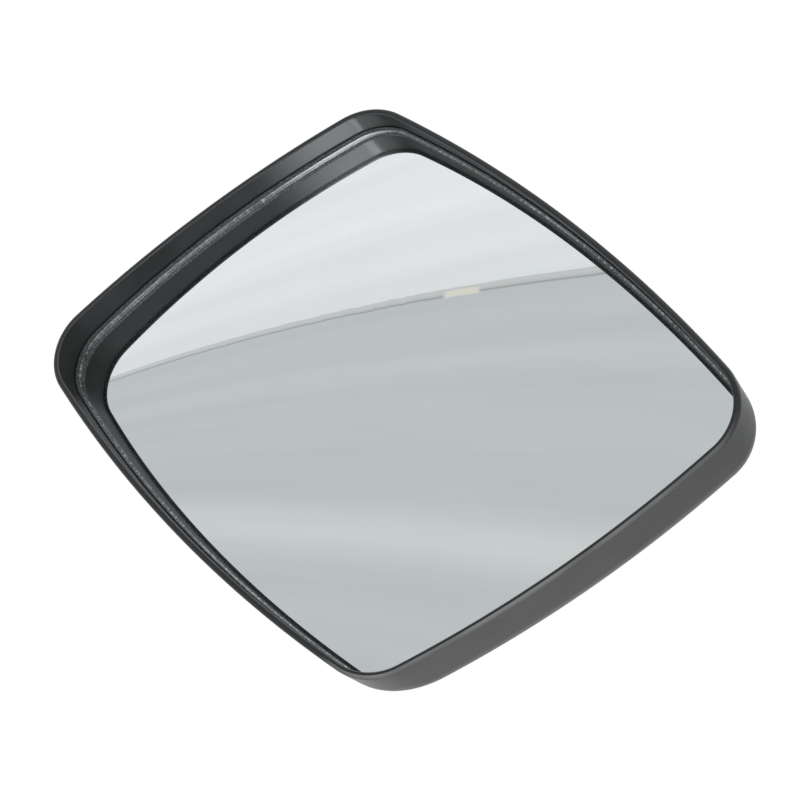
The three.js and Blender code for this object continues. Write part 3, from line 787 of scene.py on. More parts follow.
def surface(name, light, dark, roughness, spread, metallic=0.0, grain=0.0007, bump=0.00008,
            pits=0.35, dust=0.06, scuff=0.08, speck=0.0, speck_colour=(0.5, 0.5, 0.5),
            details=None):
    """A finish with grain, scuffs and dust. Its tone runs between two colours, its roughness
    by a spread about its middle, and a function may add details when it is first made."""
    found = bpy.data.materials.get(name)
    if found:
        return found
    material, tree, shader = new_material(name)
    grained = put(tree, "ShaderNodeGroup", node_tree=grain_group())
    grained.inputs["Grain Size"].default_value = grain
    grained.inputs["Pit Share"].default_value = pits
    worn = put(tree, "ShaderNodeGroup", node_tree=wear_group())
    colour = mix_colour(tree, grained.outputs["Tone"], dark, light)
    if speck > 0:
        colour = mix_colour(tree, times(tree, grained.outputs["Speck"], speck), colour,
                            speck_colour)
    dusty = times(tree, worn.outputs["Dust"], dust)
    colour = mix_colour(tree, dusty, colour, DUST_COLOUR)
    base = ranged(tree, grained.outputs["Tone"], 0.0, 1.0, roughness - spread,
                  roughness + spread)
    marked = maths(tree, "MULTIPLY_ADD", worn.outputs["Scuff"], scuff, base)
    raised = put(tree, "ShaderNodeBump",
                 {"Height": grained.outputs["Height"], "Strength": 1.0, "Distance": bump})
    give(tree, shader, {"Base Color": colour,
                        "Roughness": maths(tree, "ADD", marked,
                                           times(tree, dusty, DUST_ROUGHNESS)),
                        "Normal": raised.outputs["Normal"]})
    shader.inputs["Metallic"].default_value = metallic
    if details:
        details(tree, shader)
    return material


# Where the painted highlights set in and where they are full, on the left wall and the right lip
LEFT_HEIGHT, LEFT_ACROSS = (0.025, 0.068), (-0.09, -0.102)
RIGHT_WAY, RIGHT_REACH, RIGHT_HEIGHT = (0.96, 0.0, -0.27), (0.095, 0.105), (0.088, 0.06)
# Depths behind the rim between which the lip's painted highlight falls to a share
LIP_FRONT, LIP_SIDE, LIP_SHARE = 0.0001, 0.0011, 0.2


def upper_left_highlight(tree):
    """A soft mask over the upper end of the rim's left side, where highlights are painted."""
    place = axes(tree, object_place(tree))
    return times(tree, ranged(tree, place["Z"], *LEFT_HEIGHT, smooth=True),
                 ranged(tree, place["X"], *LEFT_ACROSS, smooth=True))


def right_lip_highlight(tree):
    """A soft, uneven mask over the front of the rim's right side, where a highlight is painted."""
    spot = object_place(tree)
    place = axes(tree, spot)
    side = ranged(tree, toward(tree, spot, RIGHT_WAY), *RIGHT_REACH, smooth=True)
    below = ranged(tree, place["Z"], *RIGHT_HEIGHT, smooth=True)
    front = ranged(tree, place["Y"], RIM_Y + LIP_FRONT, RIM_Y + LIP_SIDE, 1.0, LIP_SHARE)
    uneven = ranged(tree, noise(tree, spot, 28.0), 0.4, 0.6, to_low=0.55)
    return times(tree, times(tree, times(tree, side, below), uneven), front)


def paint_highlight(tree, shader, colour, amount, mask=upper_left_highlight):
    """Paint a highlight: turn a masked part of a finish toward a paler colour, and return the
    mask.
    """
    base = shader.inputs["Base Color"]
    share = mask(tree)
    link(tree, mix_colour(tree, times(tree, share, amount), base.links[0].from_socket,
                          colour), base)
    return share


# Finishes

def outer_plastic(colours):
    def details(tree, shader):
        shader.inputs["Sheen Weight"].default_value = 0.16
        shader.inputs["Sheen Roughness"].default_value = 0.38
        shader.inputs["Specular IOR Level"].default_value = 0.42

    return surface("Grained Black Plastic", *tones(colours.plastic, 0.78, 0.6), 0.44, 0.04,
                   grain=0.0009, bump=0.00007, details=details)


def inner_plastic(colours):
    """Plain black inside, with a painted highlight and a coat at the left wall's upper end."""
    def details(tree, shader):
        # A painted highlight at the upper end of the left wall; its mask also lays a clear coat
        # there
        highlight_mask = paint_highlight(tree, shader, (0.12, 0.12, 0.117), 0.75)
        link(tree, highlight_mask, shader.inputs["Coat Weight"])
        shader.inputs["Coat Roughness"].default_value = 0.1
        shader.inputs["Specular IOR Level"].default_value = 0.3

    return surface("Polished Black Plastic", *tones(colours.plastic, 1.0, 0.8), 0.5, 0.04,
                   grain=0.0012, bump=0.000008, dust=0.05, scuff=0.06, details=details)


def lip_highlight_plastic(colours):
    """Plastic of the lip's front, with a painted highlight along the right side."""
    def details(tree, shader):
        # A painted highlight along the front of the rim's right side
        paint_highlight(tree, shader, (0.34, 0.33, 0.32), 0.9, right_lip_highlight)

    return surface("Rubbed Lip Plastic", *tones(colours.plastic, 0.9, 0.7), 0.36, 0.05,
                   grain=0.0012, bump=0.00002, details=details)


def clear_seal():
    """Clear sealant, with a painted highlight that turns it whiter at the upper left."""
    def details(tree, shader):
        # A painted highlight that whitens the seal at the upper left
        paint_highlight(tree, shader, (1.0, 1.0, 0.98), 0.95)

    return surface("Clear Edge Seal", (0.38, 0.39, 0.38), (0.07, 0.075, 0.075), 0.2, 0.07,
                   metallic=0.4, grain=0.0013, bump=0.00025, pits=0.5, speck=0.9,
                   speck_colour=(0.9, 0.9, 0.88), dust=0.0, details=details)


# The rim's inner edge: its pale colour is a painted highlight along the lip
def highlight_edge_plastic(colours):
    return surface("Burnished Rim Edge", *tones(colours.plastic, 4.4, 2.2), 0.26, 0.06,
                   grain=0.0012, bump=0.000012, dust=0.1, scuff=0.1)


def frame_plastic(colours):
    return surface("Speckled Frame Plastic", *tones(colours.plastic, 2.4, 1.6), 0.5, 0.06,
                   grain=0.0011, bump=0.00006, speck=0.8, speck_colour=(0.3, 0.3, 0.31),
                   dust=0.2)


def clamp_plastic(colours):
    return surface("Filled Black Nylon", *tones(colours.plastic, 0.95, 0.7), 0.52, 0.06,
                   grain=0.0006, bump=0.00009, speck=0.12, speck_colour=(0.16, 0.16, 0.16))


def plated_zinc(colours):
    return surface("Zinc Plated Steel", *tones(colours.zinc, 1.0, 0.82), 0.3, 0.07,
                   metallic=1.0, grain=0.0005, bump=0.00002, pits=0.15, dust=0.03, scuff=0.2)


def cast_zinc(colours):
    return surface("Cast Metal", *tones(colours.cast, 1.0, 0.75), 0.44, 0.08, metallic=1.0,
                   grain=0.0008, bump=0.00009, pits=0.6, dust=0.05, scuff=0.15)


def dark_rubber(colours):
    return surface("Black Rubber", *tones(colours.rubber, 1.3, 0.8), 0.74, 0.07,
                   grain=0.0005, bump=0.00005, dust=0.14, scuff=0.03)


def pale_nylon(colours):
    return surface("Natural Nylon", *tones(colours.nylon, 1.0, 0.9), 0.42, 0.05,
                   grain=0.0006, bump=0.00003, dust=0.05, scuff=0.1)


def pad_foam():
    return surface("Bonding Foam", (0.68, 0.66, 0.6), (0.56, 0.54, 0.49), 0.9, 0.05,
                   grain=0.0004, bump=0.0003, pits=1.2, dust=0.05)


def silvered(colours):
    """Mirror silver under clear glass, with the faintest tone and a little dust."""
    found = bpy.data.materials.get("Silvered Glass")
    if found:
        return found
    material, tree, shader = new_material("Silvered Glass")
    grained = put(tree, "ShaderNodeGroup", node_tree=grain_group())
    worn = put(tree, "ShaderNodeGroup", node_tree=wear_group())
    worn.inputs["Dust Size"].default_value = 0.05
    colour = mix_colour(tree, grained.outputs["Tone"], *tones(colours.silver, 0.99, 1.0))
    give(tree, shader, {
        "Base Color": colour,
        "Roughness": ranged(tree, worn.outputs["Dust"], 0.0, 1.0, 0.0, 0.02)})
    shader.inputs["Metallic"].default_value = 1.0
    return material


def ground_edge():
    return surface("Ground Glass Edge", (0.78, 0.8, 0.8), (0.5, 0.52, 0.52), 0.38, 0.1,
                   metallic=0.35, grain=0.0011, bump=0.00006, speck=0.5,
                   speck_colour=(0.92, 0.93, 0.93), dust=0.0)


def back_paint():
    return surface("Grey Back Paint", (0.2, 0.2, 0.21), (0.15, 0.15, 0.16), 0.6, 0.05,
                   grain=0.0009, bump=0.00006)


# Geometry node trees

def dome_tree():
    """Bends flat rings to the glass's curve, from how far each point lies behind its face."""
    tree, start, end = named_tree(
        "Dome Over The Glass", "GeometryNodeTree",
        [("Geometry", GEOMETRY, None), ("Curve Radius", FLOAT, 1.8),
         ("Face Depth", FLOAT, 0.0), ("Face Material", MATERIAL, None),
         ("Edge Material", MATERIAL, None), ("Back Material", MATERIAL, None)],
        [("Geometry", GEOMETRY)])
    place = axes(tree, put(tree, "GeometryNodeInputPosition").outputs[0])
    x, z = place["X"], place["Z"]
    squared = maths(tree, "ADD", times(tree, x, x), times(tree, z, z))
    twice = times(tree, start.outputs["Curve Radius"], 2.0)
    fall = maths(tree, "DIVIDE", squared, twice)
    behind = put(tree, "GeometryNodeInputNamedAttribute", {"Name": "behind"}, data_type="FLOAT")
    depth = maths(tree, "ADD", maths(tree, "ADD", fall, behind.outputs[0]),
                  start.outputs["Face Depth"])
    moved = put(tree, "ShaderNodeCombineXYZ", {"X": x, "Y": depth, "Z": z})
    bent = put(tree, "GeometryNodeSetPosition",
               {"Geometry": start.outputs["Geometry"], "Position": moved.outputs[0]})
    real = put(tree, "GeometryNodeRealizeInstances", {"Geometry": bent.outputs[0]})
    part = put(tree, "GeometryNodeInputNamedAttribute", {"Name": "part"}, data_type="INT")
    last = put(tree, "GeometryNodeSetMaterial",
               {"Geometry": real.outputs[0], "Material": start.outputs["Face Material"]})
    for number, label in ((1, "Edge Material"), (2, "Back Material")):
        chosen = put(tree, "FunctionNodeCompare", {2: part.outputs[0], 3: number},
                     data_type="INT", operation="EQUAL")
        last = put(tree, "GeometryNodeSetMaterial",
                   {"Geometry": last.outputs[0], "Selection": chosen.outputs[0],
                    "Material": start.outputs[label]})
    link(tree, last.outputs[0], end.inputs[0])
    return tree


def copies_tree(name, sizes, make_points):
    """A tree that sets copies of a pattern piece on points, then makes them real."""
    found = bpy.data.node_groups.get(name)
    if found:
        return found
    tree, start, end = named_tree(
        name, "GeometryNodeTree",
        [("Geometry", GEOMETRY, None), ("Pattern", "NodeSocketObject", None),
         ("Material", MATERIAL, None)] + [(label, kind, None) for label, kind in sizes],
        [("Geometry", GEOMETRY)])
    points = make_points(tree, start)
    pattern = put(tree, "GeometryNodeObjectInfo", {"Object": start.outputs["Pattern"]})
    copies = put(tree, "GeometryNodeInstanceOnPoints",
                 {"Points": points, "Instance": pattern.outputs["Geometry"]})
    real = put(tree, "GeometryNodeRealizeInstances", {"Geometry": copies.outputs[0]})
    painted = put(tree, "GeometryNodeSetMaterial",
                  {"Geometry": real.outputs[0], "Material": start.outputs["Material"]})
    link(tree, painted.outputs[0], end.inputs[0])
    return tree


def circle_points(tree, start):
    """Points on a circle about Y, the first of them half a step round."""
    ring = put(tree, "GeometryNodeMeshCircle",
               {"Vertices": start.outputs["Count"], "Radius": start.outputs["Circle Radius"]})
    half = maths(tree, "DIVIDE", math.pi, start.outputs["Count"])
    spin = put(tree, "ShaderNodeCombineXYZ", {"Z": half})
    turned_ring = put(tree, "GeometryNodeTransform",
                      {"Geometry": ring.outputs[0], "Rotation": spin.outputs[0]})
    upright = put(tree, "GeometryNodeTransform",
                  {"Geometry": turned_ring.outputs[0], "Rotation": (math.pi / 2, 0, 0)})
    return upright.outputs[0]


def slanted_grid_points(tree, start):
    """The four corners of a slanted rectangle."""
    grid = put(tree, "GeometryNodeMeshGrid",
               {"Size X": start.outputs["Width"], "Size Y": start.outputs["Rise"],
                "Vertices X": 2, "Vertices Y": 2})
    place = axes(tree, put(tree, "GeometryNodeInputPosition").outputs[0])
    rise, slant = place["Y"], start.outputs["Slant"]
    x = maths(tree, "MULTIPLY_ADD", rise, maths(tree, "COSINE", slant, 0.0), place["X"])
    z = times(tree, rise, maths(tree, "SINE", slant, 0.0))
    moved = put(tree, "ShaderNodeCombineXYZ", {"X": x, "Z": z})
    return put(tree, "GeometryNodeSetPosition",
               {"Geometry": grid.outputs[0], "Position": moved.outputs[0]}).outputs[0]


def pair_points(tree, start):
    """Two points side by side."""
    half = times(tree, start.outputs["Spacing"], -0.5)
    first = put(tree, "ShaderNodeCombineXYZ", {"X": half})
    step = put(tree, "ShaderNodeCombineXYZ", {"X": start.outputs["Spacing"]})
    return put(tree, "GeometryNodeMeshLine",
               {"Count": 2, "Start Location": first.outputs[0],
                "Offset": step.outputs[0]}).outputs[0]


LAYOUTS = {
    "circle": ("Copies On A Circle", [("Count", "NodeSocketInt"), ("Circle Radius", FLOAT)],
               circle_points),
    "slanted": ("Copies On A Slanted Rectangle",
                [("Width", FLOAT), ("Rise", FLOAT), ("Slant", FLOAT)], slanted_grid_points),
    "pair": ("Copies In A Pair", [("Spacing", FLOAT)], pair_points),
}


def copies(name, pattern, layout, values, material):
    """One plain mesh of a pattern piece's copies, laid out by geometry nodes."""
    tree = copies_tree(*LAYOUTS[layout])
    piece = add_piece(name, [(0, 0, 0), (0.001, 0, 0), (0, 0, 0.001)], [(0, 1, 2)])
    set_inputs(piece, tree, {"Pattern": pattern, "Material": material, **values})
    settle(piece)
    drop(pattern)
    return piece


# Fasteners and small forms, each modelled once

def hex_radius(across, angle):
    """Reach of a hexagon at an angle, from its size across flats."""
    return across / 2 / math.cos((angle + math.pi / 6) % (math.pi / 3) - math.pi / 6)


CHAMFER_SLOPE = 0.577


def hex_ring(across, depth, sides, circle=None, lean=0):
    """A hexagon's stations (radius, depth); past a chamfer's circle they lean off its face."""
    ring = []
    for angle in whole_turn(sides):
        reach = hex_radius(across, angle)
        slope = lean * max(0.0, reach - circle) * CHAMFER_SLOPE if circle else 0.0
        ring.append((reach, depth + slope))
    return ring


def ring_skin(name, rings, sides, closed):
    """Skin over rings: a circle is one (radius, depth), any other ring a list of them."""
    vertices = []
    for ring in rings:
        stations = ring if isinstance(ring, list) else [ring] * sides
        vertices += [around(radius, angle, depth)
                     for (radius, depth), angle in zip(stations, whole_turn(sides))]
    faces = quads(len(rings), sides, True) if closed else capped(len(rings), sides)
    return add_piece(name, vertices, faces)


def hex_nut(name, across, hole, front, back, sides=72):
    """A plain hexagon nut, chamfered at both faces and in its hole."""
    circle, edge = across / 2 * 0.97, FIXED.edge
    return ring_skin(name, [
        (hole + edge, front), (circle, front), hex_ring(across, front, sides, circle, 1),
        hex_ring(across, back, sides, circle, -1), (circle, back), (hole + edge, back),
        (hole, back - edge), (hole, front + edge)], sides, True)


def thread(crest, root, pitch, start, end):
    """Circles of a thread's crests and roots, from one depth to another."""
    rings, depth = [], start
    while depth < end:
        rings += [(crest, depth), (root, depth + pitch / 2)]
        depth += pitch
    return rings + [(crest, depth)]


def hex_bolt(name, across, radius, tip, seat, top):
    """A hexagon bolt whose head has a washer face, a chamfered crown and a thin thread."""
    sides, edge = 72, FIXED.edge
    circle, face = across / 2 * 0.95, across / 2 * 0.93
    pitch, groove, lead, length = 0.00125, 0.00045, 0.0006, 0.016
    return ring_skin(name, [
        (radius - lead, tip),
        *thread(radius, radius - groove, pitch, tip + lead, tip + length),
        (radius, seat), (face, seat), (face, seat + edge),
        hex_ring(across, seat + edge, sides), hex_ring(across, top, sides, circle, -1),
        (circle, top), (circle - 0.0008, top), (circle - 0.0011, top - 0.0003)], sides, False)


def pan_screw(name, radius, head_radius, tip, seat, back, socket, pitch):
    """A pan-head screw with a hexagon socket, a rounded head and a rolled thread."""
    sides, height, across = 48, back - seat, socket * 2
    plain_shank, socket_edge, socket_depth = 0.0035, 0.0002, 0.0016
    crown = [(head_radius - height * 0.55 * (1 - math.cos(angle)),
              back - height * 0.6 * (1 - math.sin(angle))) for angle in quarter_turn(7)[1:]]
    return ring_skin(name, [
        (radius * 0.55, tip),
        *thread(radius, radius * 0.8, pitch, tip + radius * 0.5, seat - plain_shank),
        (radius, seat), (head_radius - 0.0001, seat), (head_radius, seat + 0.0001), *crown,
        (socket * 1.22, back), hex_ring(across, back - socket_edge, sides),
        hex_ring(across, back - socket_depth, sides)], sides, False)


def split_washer(name, hole, outer, front, back):
    """A spring washer: a flat coil with a slanted split."""
    steps, gap, slant, lean = 56, math.radians(9), 0.04, 0.00012
    vertices = []
    for i in range(steps + 1):
        angle = gap / 2 + (2 * math.pi - gap) * i / steps
        rise = lean * (2 * i / steps - 1)
        skew = slant if i in (0, steps) else 0
        for radius, depth, side in ((hole, front + lean, -1), (outer, front + lean, -1),
                                    (outer, back - lean, 1), (hole, back - lean, 1)):
            vertices.append(around(radius, angle + side * skew, depth + rise))
    return add_piece(name, vertices, capped(steps + 1, 4))


def wave_ring(name, hole, outer, front, height):
    """A thin ring that rises and falls three times round the stud."""
    sides, sheet = 96, 0.0005
    swing = (height - sheet) / 2
    vertices = []
    for angle in whole_turn(sides):
        depth = front + swing * (1 + math.sin(3 * angle))
        vertices += [around(radius, angle, depth + more) for radius, more in (
            (hole, 0), (outer, 0), (outer, sheet), (hole, sheet))]
    return add_piece(name, vertices, quads(sides, 4, True))


def clamp_block(name, clamp, front, back):
    """A block with rounded upright edges between two depths."""
    w, h, r = clamp.half_width, clamp.half_height, clamp.edge_round
    flat = []
    for x, z, start in ((w - r, h - r, 0), (r - w, h - r, 90), (r - w, r - h, 180),
                        (w - r, r - h, 270)):
        for k in range(7):
            angle = math.radians(start + 15 * k)
            flat.append((x + r * math.cos(angle), z + r * math.sin(angle)))
    return prism(name, *[[(x, RIM_Y + depth, z) for x, z in flat] for depth in (front, back)])


def arm_groove(radius):
    """A round bar along Z through the arm's axis, longer than the clamp."""
    reach = 0.03
    flat = [(radius * math.cos(angle), radius * math.sin(angle)) for angle in whole_turn(96)]
    return prism("groove", *[[(x, y, z) for x, y in flat] for z in (-reach, reach)])


def half_sleeve(name, profile, side):
    """Half of a sleeve about Z: the profile holds (radius, height)."""
    steps, split = 48, 0.001
    vertices = []
    for i in range(steps + 1):
        for radius, height in profile:
            clear = math.asin(split / radius)
            angle = clear + (math.pi - 2 * clear) * i / steps
            vertices.append((radius * math.cos(angle), side * radius * math.sin(angle), height))
    return add_piece(name, vertices, capped(steps + 1, len(profile)))


def flat_plate(name, settings, edge_inset, front, back, bevel):
    """A flat stack of rings with how far each lies behind the glass's face."""
    made, edge, steps, fullness = Rings(settings), 0.0003, 14, 1.3
    rings, behinds = [], []

    def add(inset, behind, share=1.0):
        rings.append([(x, 0.0, z) for x, _, z in made.domed(inset, behind, share)])
        behinds.append(behind)

    shares = [k / steps for k in range(1, steps)]
    for share in shares:
        add(edge_inset + bevel, front, share)
    add(edge_inset + bevel, front)
    for step in (1 / 3, 2 / 3, 3 / 3):
        add(edge_inset + bevel * (1 - step) ** fullness, front + bevel * step ** fullness)
    add(edge_inset, back - edge)
    add(edge_inset + edge, back)
    edge_bands = len(rings) - 1
    for share in reversed(shares):
        add(edge_inset + edge, back, share)
    count = len(rings[0])
    piece = loft(name, rings, [(0, 0, 0), (0, 0, 0)])
    behind = piece.data.attributes.new("behind", "FLOAT", "POINT")
    behind.data.foreach_set(
        "value", [value for value in behinds for _ in range(count)] + [front, back])
    numbers = []
    for k in range(len(rings) - 1):
        numbers += [0 if k < len(shares) else 1 if k < edge_bands else 2] * count
    part = piece.data.attributes.new("part", "INT", "FACE")
    part.data.foreach_set("value", numbers + [0, 2] * count)
    return piece


# Operators, one for each piece or group of like pieces

class MIRRORHEAD_OT_housing(bpy.types.Operator):
    """Make the moulded housing with its screw wells"""
    bl_idname = "mirrorhead.housing"
    bl_label = "Housing"

    def execute(self, context):
        settings = context.scene.mirror_head
        shell, d, made = settings.shell, depths(settings), Rings(settings)
        plain, inside, edge, lip_highlight = range(4)
        centre_inset = shell.draft + shell.back_round
        rings, slots = [], []

        def add(slot, ring):
            rings.append(ring)
            slots.append(slot)

        def on_round(radius, angle):
            """Inset and depth of a point on the round between the wall and the back."""
            return (centre_inset - radius * math.cos(angle),
                    shell.wall_depth + radius * math.sin(angle))

        # The lip's two rounds, the wall, the back's round and the crown up to the boss
        outer, inner = shell.lip_outer_round, shell.lip_inner_round
        # The inner round's front bands take the pale edge plastic, whose paler colour is a painted
        # highlight
        for k, angle in enumerate(quarter_turn(5)):
            add(edge if k < 5 else plain,
                made.flat(shell.bead_width - inner + inner * math.cos(angle),
                          inner - inner * math.sin(angle)))
        # The outer round's bands take the lip plastic, which is painted with a highlight along the
        # right side
        for k, angle in enumerate(quarter_turn(8)):
            add(lip_highlight if k < 8 else plain,
                made.flat(outer - outer * math.sin(angle), outer - outer * math.cos(angle)))
        # The wall's rings lie closer together where the blunt corners start to grow rounder
        for depth in (0.003, 0.007, 0.011, 0.0145, 0.0165, 0.0175, 0.0183, 0.019, 0.0197,
                      0.0204, 0.021):
            share = (depth - outer) / (shell.wall_depth - outer)
            add(plain, made.flat(shell.draft * share, depth))
        for k in range(23):
            add(plain, made.flat(*on_round(shell.back_round, shell.round_angle * k / 22)))
        boss = settings.socket.flange_radius + FIXED.boss_edge
        end_inset = centre_inset - shell.back_round * math.cos(shell.round_angle)
        end_depth = d.back - shell.crown_rise
        for share in [k / 14 for k in range(1, 15)]:
            depth = end_depth + shell.crown_rise * (1 - (1 - share) ** 2)
            add(plain, made.blend(end_inset, end_depth, boss, share, depth))
        for slot, radius, depth in ((plain, d.hole + FIXED.edge, d.back),
                                    (inside, d.hole, d.back - FIXED.edge),
                                    (inside, d.hole, d.back_inside)):
            add(slot, made.blend(end_inset, end_depth, radius, 1, depth))
        # The same way back inside, over the ledge behind the glass frame to the bead
        inner_round = shell.back_round - shell.wall
        start = on_round(inner_round, shell.round_angle)
        for share in (1, 0.7, 0.35):
            depth = start[1] + (d.back_inside - start[1]) * (1 - (1 - share) ** 2)
            add(inside, made.blend(*start, boss, share, depth))
        wall_inset = shell.lip_width + shell.inner_draft
        ledge_inset = wall_inset + shell.ledge
        ledge_angle = math.acos((centre_inset - ledge_inset) / inner_round)
        for k in range(5, -1, -1):
            angle = ledge_angle + (shell.round_angle - ledge_angle) * k / 5
            add(inside, made.flat(*on_round(inner_round, angle)))
        add(inside, made.domed(ledge_inset, d.ledge_front))
        for behind in (d.ledge_front, 0.0025, -0.001, -0.0045, -0.008):
            add(inside, made.domed(wall_inset, behind))
        add(inside, made.flat(shell.lip_width, shell.bead_depth * 1.7))
        add(inside, made.flat(shell.bead_width, shell.bead_depth))
        colours = settings.colours
        piece = loft("mirror_housing", rings, band_slots=slots, materials=(
            outer_plastic(colours), inner_plastic(colours), highlight_edge_plastic(colours),
            lip_highlight_plastic(colours)))
        # Posts and wells of the frame's screws, and the holes of the ring's screws
        bore(piece, FIXED.post, d.post_front, d.back_inside, 48, d.frame_screws,
             operation="UNION")
        well_end = d.back + PAST
        well = [Vector(corner) for corner in (
            (0, d.post_floor), (FIXED.well, d.post_floor), (FIXED.well_mouth, well_end),
            (0, well_end))]
        carve(piece, turned("wells", well, 48, False, d.frame_screws))
        bore(piece, FIXED.frame_hole, d.post_front - SHORT_PAST,
             d.post_floor + SHORT_PAST, 32, d.frame_screws)
        bore(piece, FIXED.ring_hole, d.back_inside - SHORT_PAST,
             d.back + SHORT_PAST, 32, d.ring_screws)
        finish(piece, 40, "head", "housing", ["housing_shell"])
        return {"FINISHED"}


class MIRRORHEAD_OT_glass(bpy.types.Operator):
    """Make the convex silvered glass with its ground edge"""
    bl_idname = "mirrorhead.glass"
    bl_label = "Mirror glass"

    def execute(self, context):
        settings = context.scene.mirror_head
        glass = settings.glass
        piece = flat_plate("convex_glass", settings, glass.edge_inset, 0.0, glass.thickness,
                           glass.bevel)
        set_inputs(piece, dome_tree(), {
            "Curve Radius": glass.curve_radius, "Face Depth": RIM_Y + glass.recess,
            "Face Material": silvered(settings.colours), "Edge Material": ground_edge(),
            "Back Material": back_paint()})
        settle(piece)
        finish(piece, 25, "head", "glass", ["mirror_glass"])
        return {"FINISHED"}


class MIRRORHEAD_OT_glass_frame(bpy.types.Operator):
    """Make the tray whose thin rim stands round the glass"""
    bl_idname = "mirrorhead.glass_frame"
    bl_label = "Glass frame"

    def execute(self, context):
        settings = context.scene.mirror_head
        glass, shell, d, made = settings.glass, settings.shell, depths(settings), Rings(settings)
        outer = shell.lip_width + shell.inner_draft + glass.frame_gap
        inner = outer + glass.frame_rim
        top, middle = -glass.frame_height, 0.0015
        edge, wide, high = 0.0002, glass.seal_width, glass.seal_height
        stations = [(inner, d.plate_front, share) for share in (0.3, 0.6, 0.82, 1)]
        stations += [(inner, middle), (inner, -SEAL_GAP)]
        seal_start = len(stations) - 1
        for angle in quarter_turn(8):
            stations.append((inner + wide * (1 - math.sin(angle)),
                             -SEAL_GAP - high * (1 - math.cos(angle))))
        seal_end = len(stations) - 1
        stations += [
            (inner, top + edge), (inner - edge * 0.3, top + edge * 0.3), (inner - edge, top),
            (outer + edge, top), (outer + edge * 0.3, top + edge * 0.3), (outer, top + edge),
            (outer, middle), (outer, d.plate_back - FIXED.edge),
            (outer + FIXED.edge, d.plate_back)]
        stations += [(outer, d.plate_back, share) for share in (0.82, 0.6, 0.3)]
        ends = [(0, RIM_Y + glass.recess + depth, 0) for depth in (d.plate_front, d.plate_back)]
        slots = [1 if seal_start <= k < seal_end else 0 for k in range(len(stations) - 1)]
        piece = loft("glass_tray", [made.domed(*station) for station in stations], ends, slots,
                     (frame_plastic(settings.colours), clear_seal()))
        overlap, (x, z) = 0.001, d.frame_screws[0]
        fall = (x * x + z * z) / (2 * glass.curve_radius)
        start = glass.recess + fall + d.plate_back - overlap
        bore(piece, FIXED.frame_boss, start, d.post_front - SEAT_GAP, 32, d.frame_screws,
             operation="UNION")
        finish(piece, 40, "head", "housing", ["glass_frame"])
        return {"FINISHED"}


class MIRRORHEAD_OT_bonding_pad(bpy.types.Operator):
    """Give the foam pad behind the glass its finish"""
    bl_idname = "mirrorhead.bonding_pad"
    bl_label = "Bonding pad"

    def execute(self, context):
        paint_nodes(pad_foam(), "bonding_pad")
        return {"FINISHED"}


class MIRRORHEAD_OT_frame_screws(bpy.types.Operator):
    """Set the four screws that hold the glass frame from behind"""
    bl_idname = "mirrorhead.frame_screws"
    bl_label = "Frame screws"

    def execute(self, context):
        settings = context.scene.mirror_head
        rim, d = settings.rim, depths(settings)
        pattern = pan_screw("frame_screw", radius=0.0019, head_radius=0.0038,
                            tip=d.frame_seat - 0.0155, seat=d.frame_seat,
                            back=d.frame_head_back, socket=0.0014, pitch=0.0013)
        values = {"Width": 2 * SCREW_ALONG * rim.long_half,
                  "Rise": 2 * SCREW_UP * rim.short_half, "Slant": rim.slant}
        piece = copies("tray_screws", pattern, "slanted", values, plated_zinc(settings.colours))
        finish(piece, 35, "head", "zinc", numbered("frame_screw"))
        return {"FINISHED"}


class MIRRORHEAD_OT_socket(bpy.types.Operator):
    """Turn the gasket and the ring that holds the ball, and finish the cup"""
    bl_idname = "mirrorhead.socket"
    bl_label = "Socket"

    def execute(self, context):
        settings = context.scene.mirror_head
        socket, colours, d = settings.socket, settings.colours, depths(settings)
        flange = socket.flange_radius
        holes = (FIXED.ring_hole, d.back - PAST, d.flange_back + PAST, 24,
                 d.ring_screws)
        gasket = turned("gasket", rounded([
            (d.hole, d.gasket_front, 0), (flange, d.gasket_front, 0.0004),
            (flange, d.gasket_back, 0.0004), (d.hole, d.gasket_back, 0)]), 120)
        bore(gasket, *holes)
        finish(gasket, 32, "head", "rubber", ["socket_gasket"], dark_rubber(colours))
        start = math.acos((d.ring_front - d.ball) / d.socket)
        window = math.asin(FIXED.window / d.socket)
        inside = [(p.x, p.y, 0) for p in ball_arc(d.socket, window, start, 16)]
        ring = turned("ball_ring", rounded(inside + [
            (flange, d.ring_front, 0.0004), (flange, d.flange_back, 0.0012),
            (d.cup_outer + FIXED.hub, d.flange_back, 0.0016),
            (d.socket + FIXED.hub_top, d.ring_top, 0.0012),
            (FIXED.window + FIXED.ring_lip, d.ring_top, 0.0003)], steps=5), 120)
        bore(ring, *holes)
        finish(ring, 38, "head", "housing", ["socket_ring"], outer_plastic(colours))
        paint_nodes(plated_zinc(colours), "socket_cup")
        return {"FINISHED"}


class MIRRORHEAD_OT_ring_fasteners(bpy.types.Operator):
    """Set the ring's screws, spring washers and nuts round their circle"""
    bl_idname = "mirrorhead.ring_fasteners"
    bl_label = "Ring screws, washers and nuts"

    def execute(self, context):
        settings = context.scene.mirror_head
        socket, d = settings.socket, depths(settings)
        zinc = plated_zinc(settings.colours)
        hole, head = FIXED.ring_hole, FIXED.ring_head
        values = {"Count": socket.screw_count, "Circle Radius": socket.screw_circle}
        screw = pan_screw("ring_screw", radius=socket.screw_radius, head_radius=head,
                          tip=d.nut_back - 0.0055, seat=d.ring_seat,
                          back=d.ring_seat + FIXED.ring_head_height, socket=0.0018,
                          pitch=0.0009)
        washer = split_washer("spring_washer", hole, head, d.washer_front,
                              d.washer_front + FIXED.spring)
        nut = hex_nut("ring_nut", FIXED.ring_nut_across, hole, d.nut_back - FIXED.ring_nut,
                      d.nut_back, 48)
        for name, pattern, angle in (("ring_screw", screw, 35), ("spring_washer", washer, 35),
                                     ("ring_nut", nut, 25)):
            piece = copies(name + "s", pattern, "circle", values, zinc)
            finish(piece, angle, "head", "zinc", numbered(name))
        return {"FINISHED"}


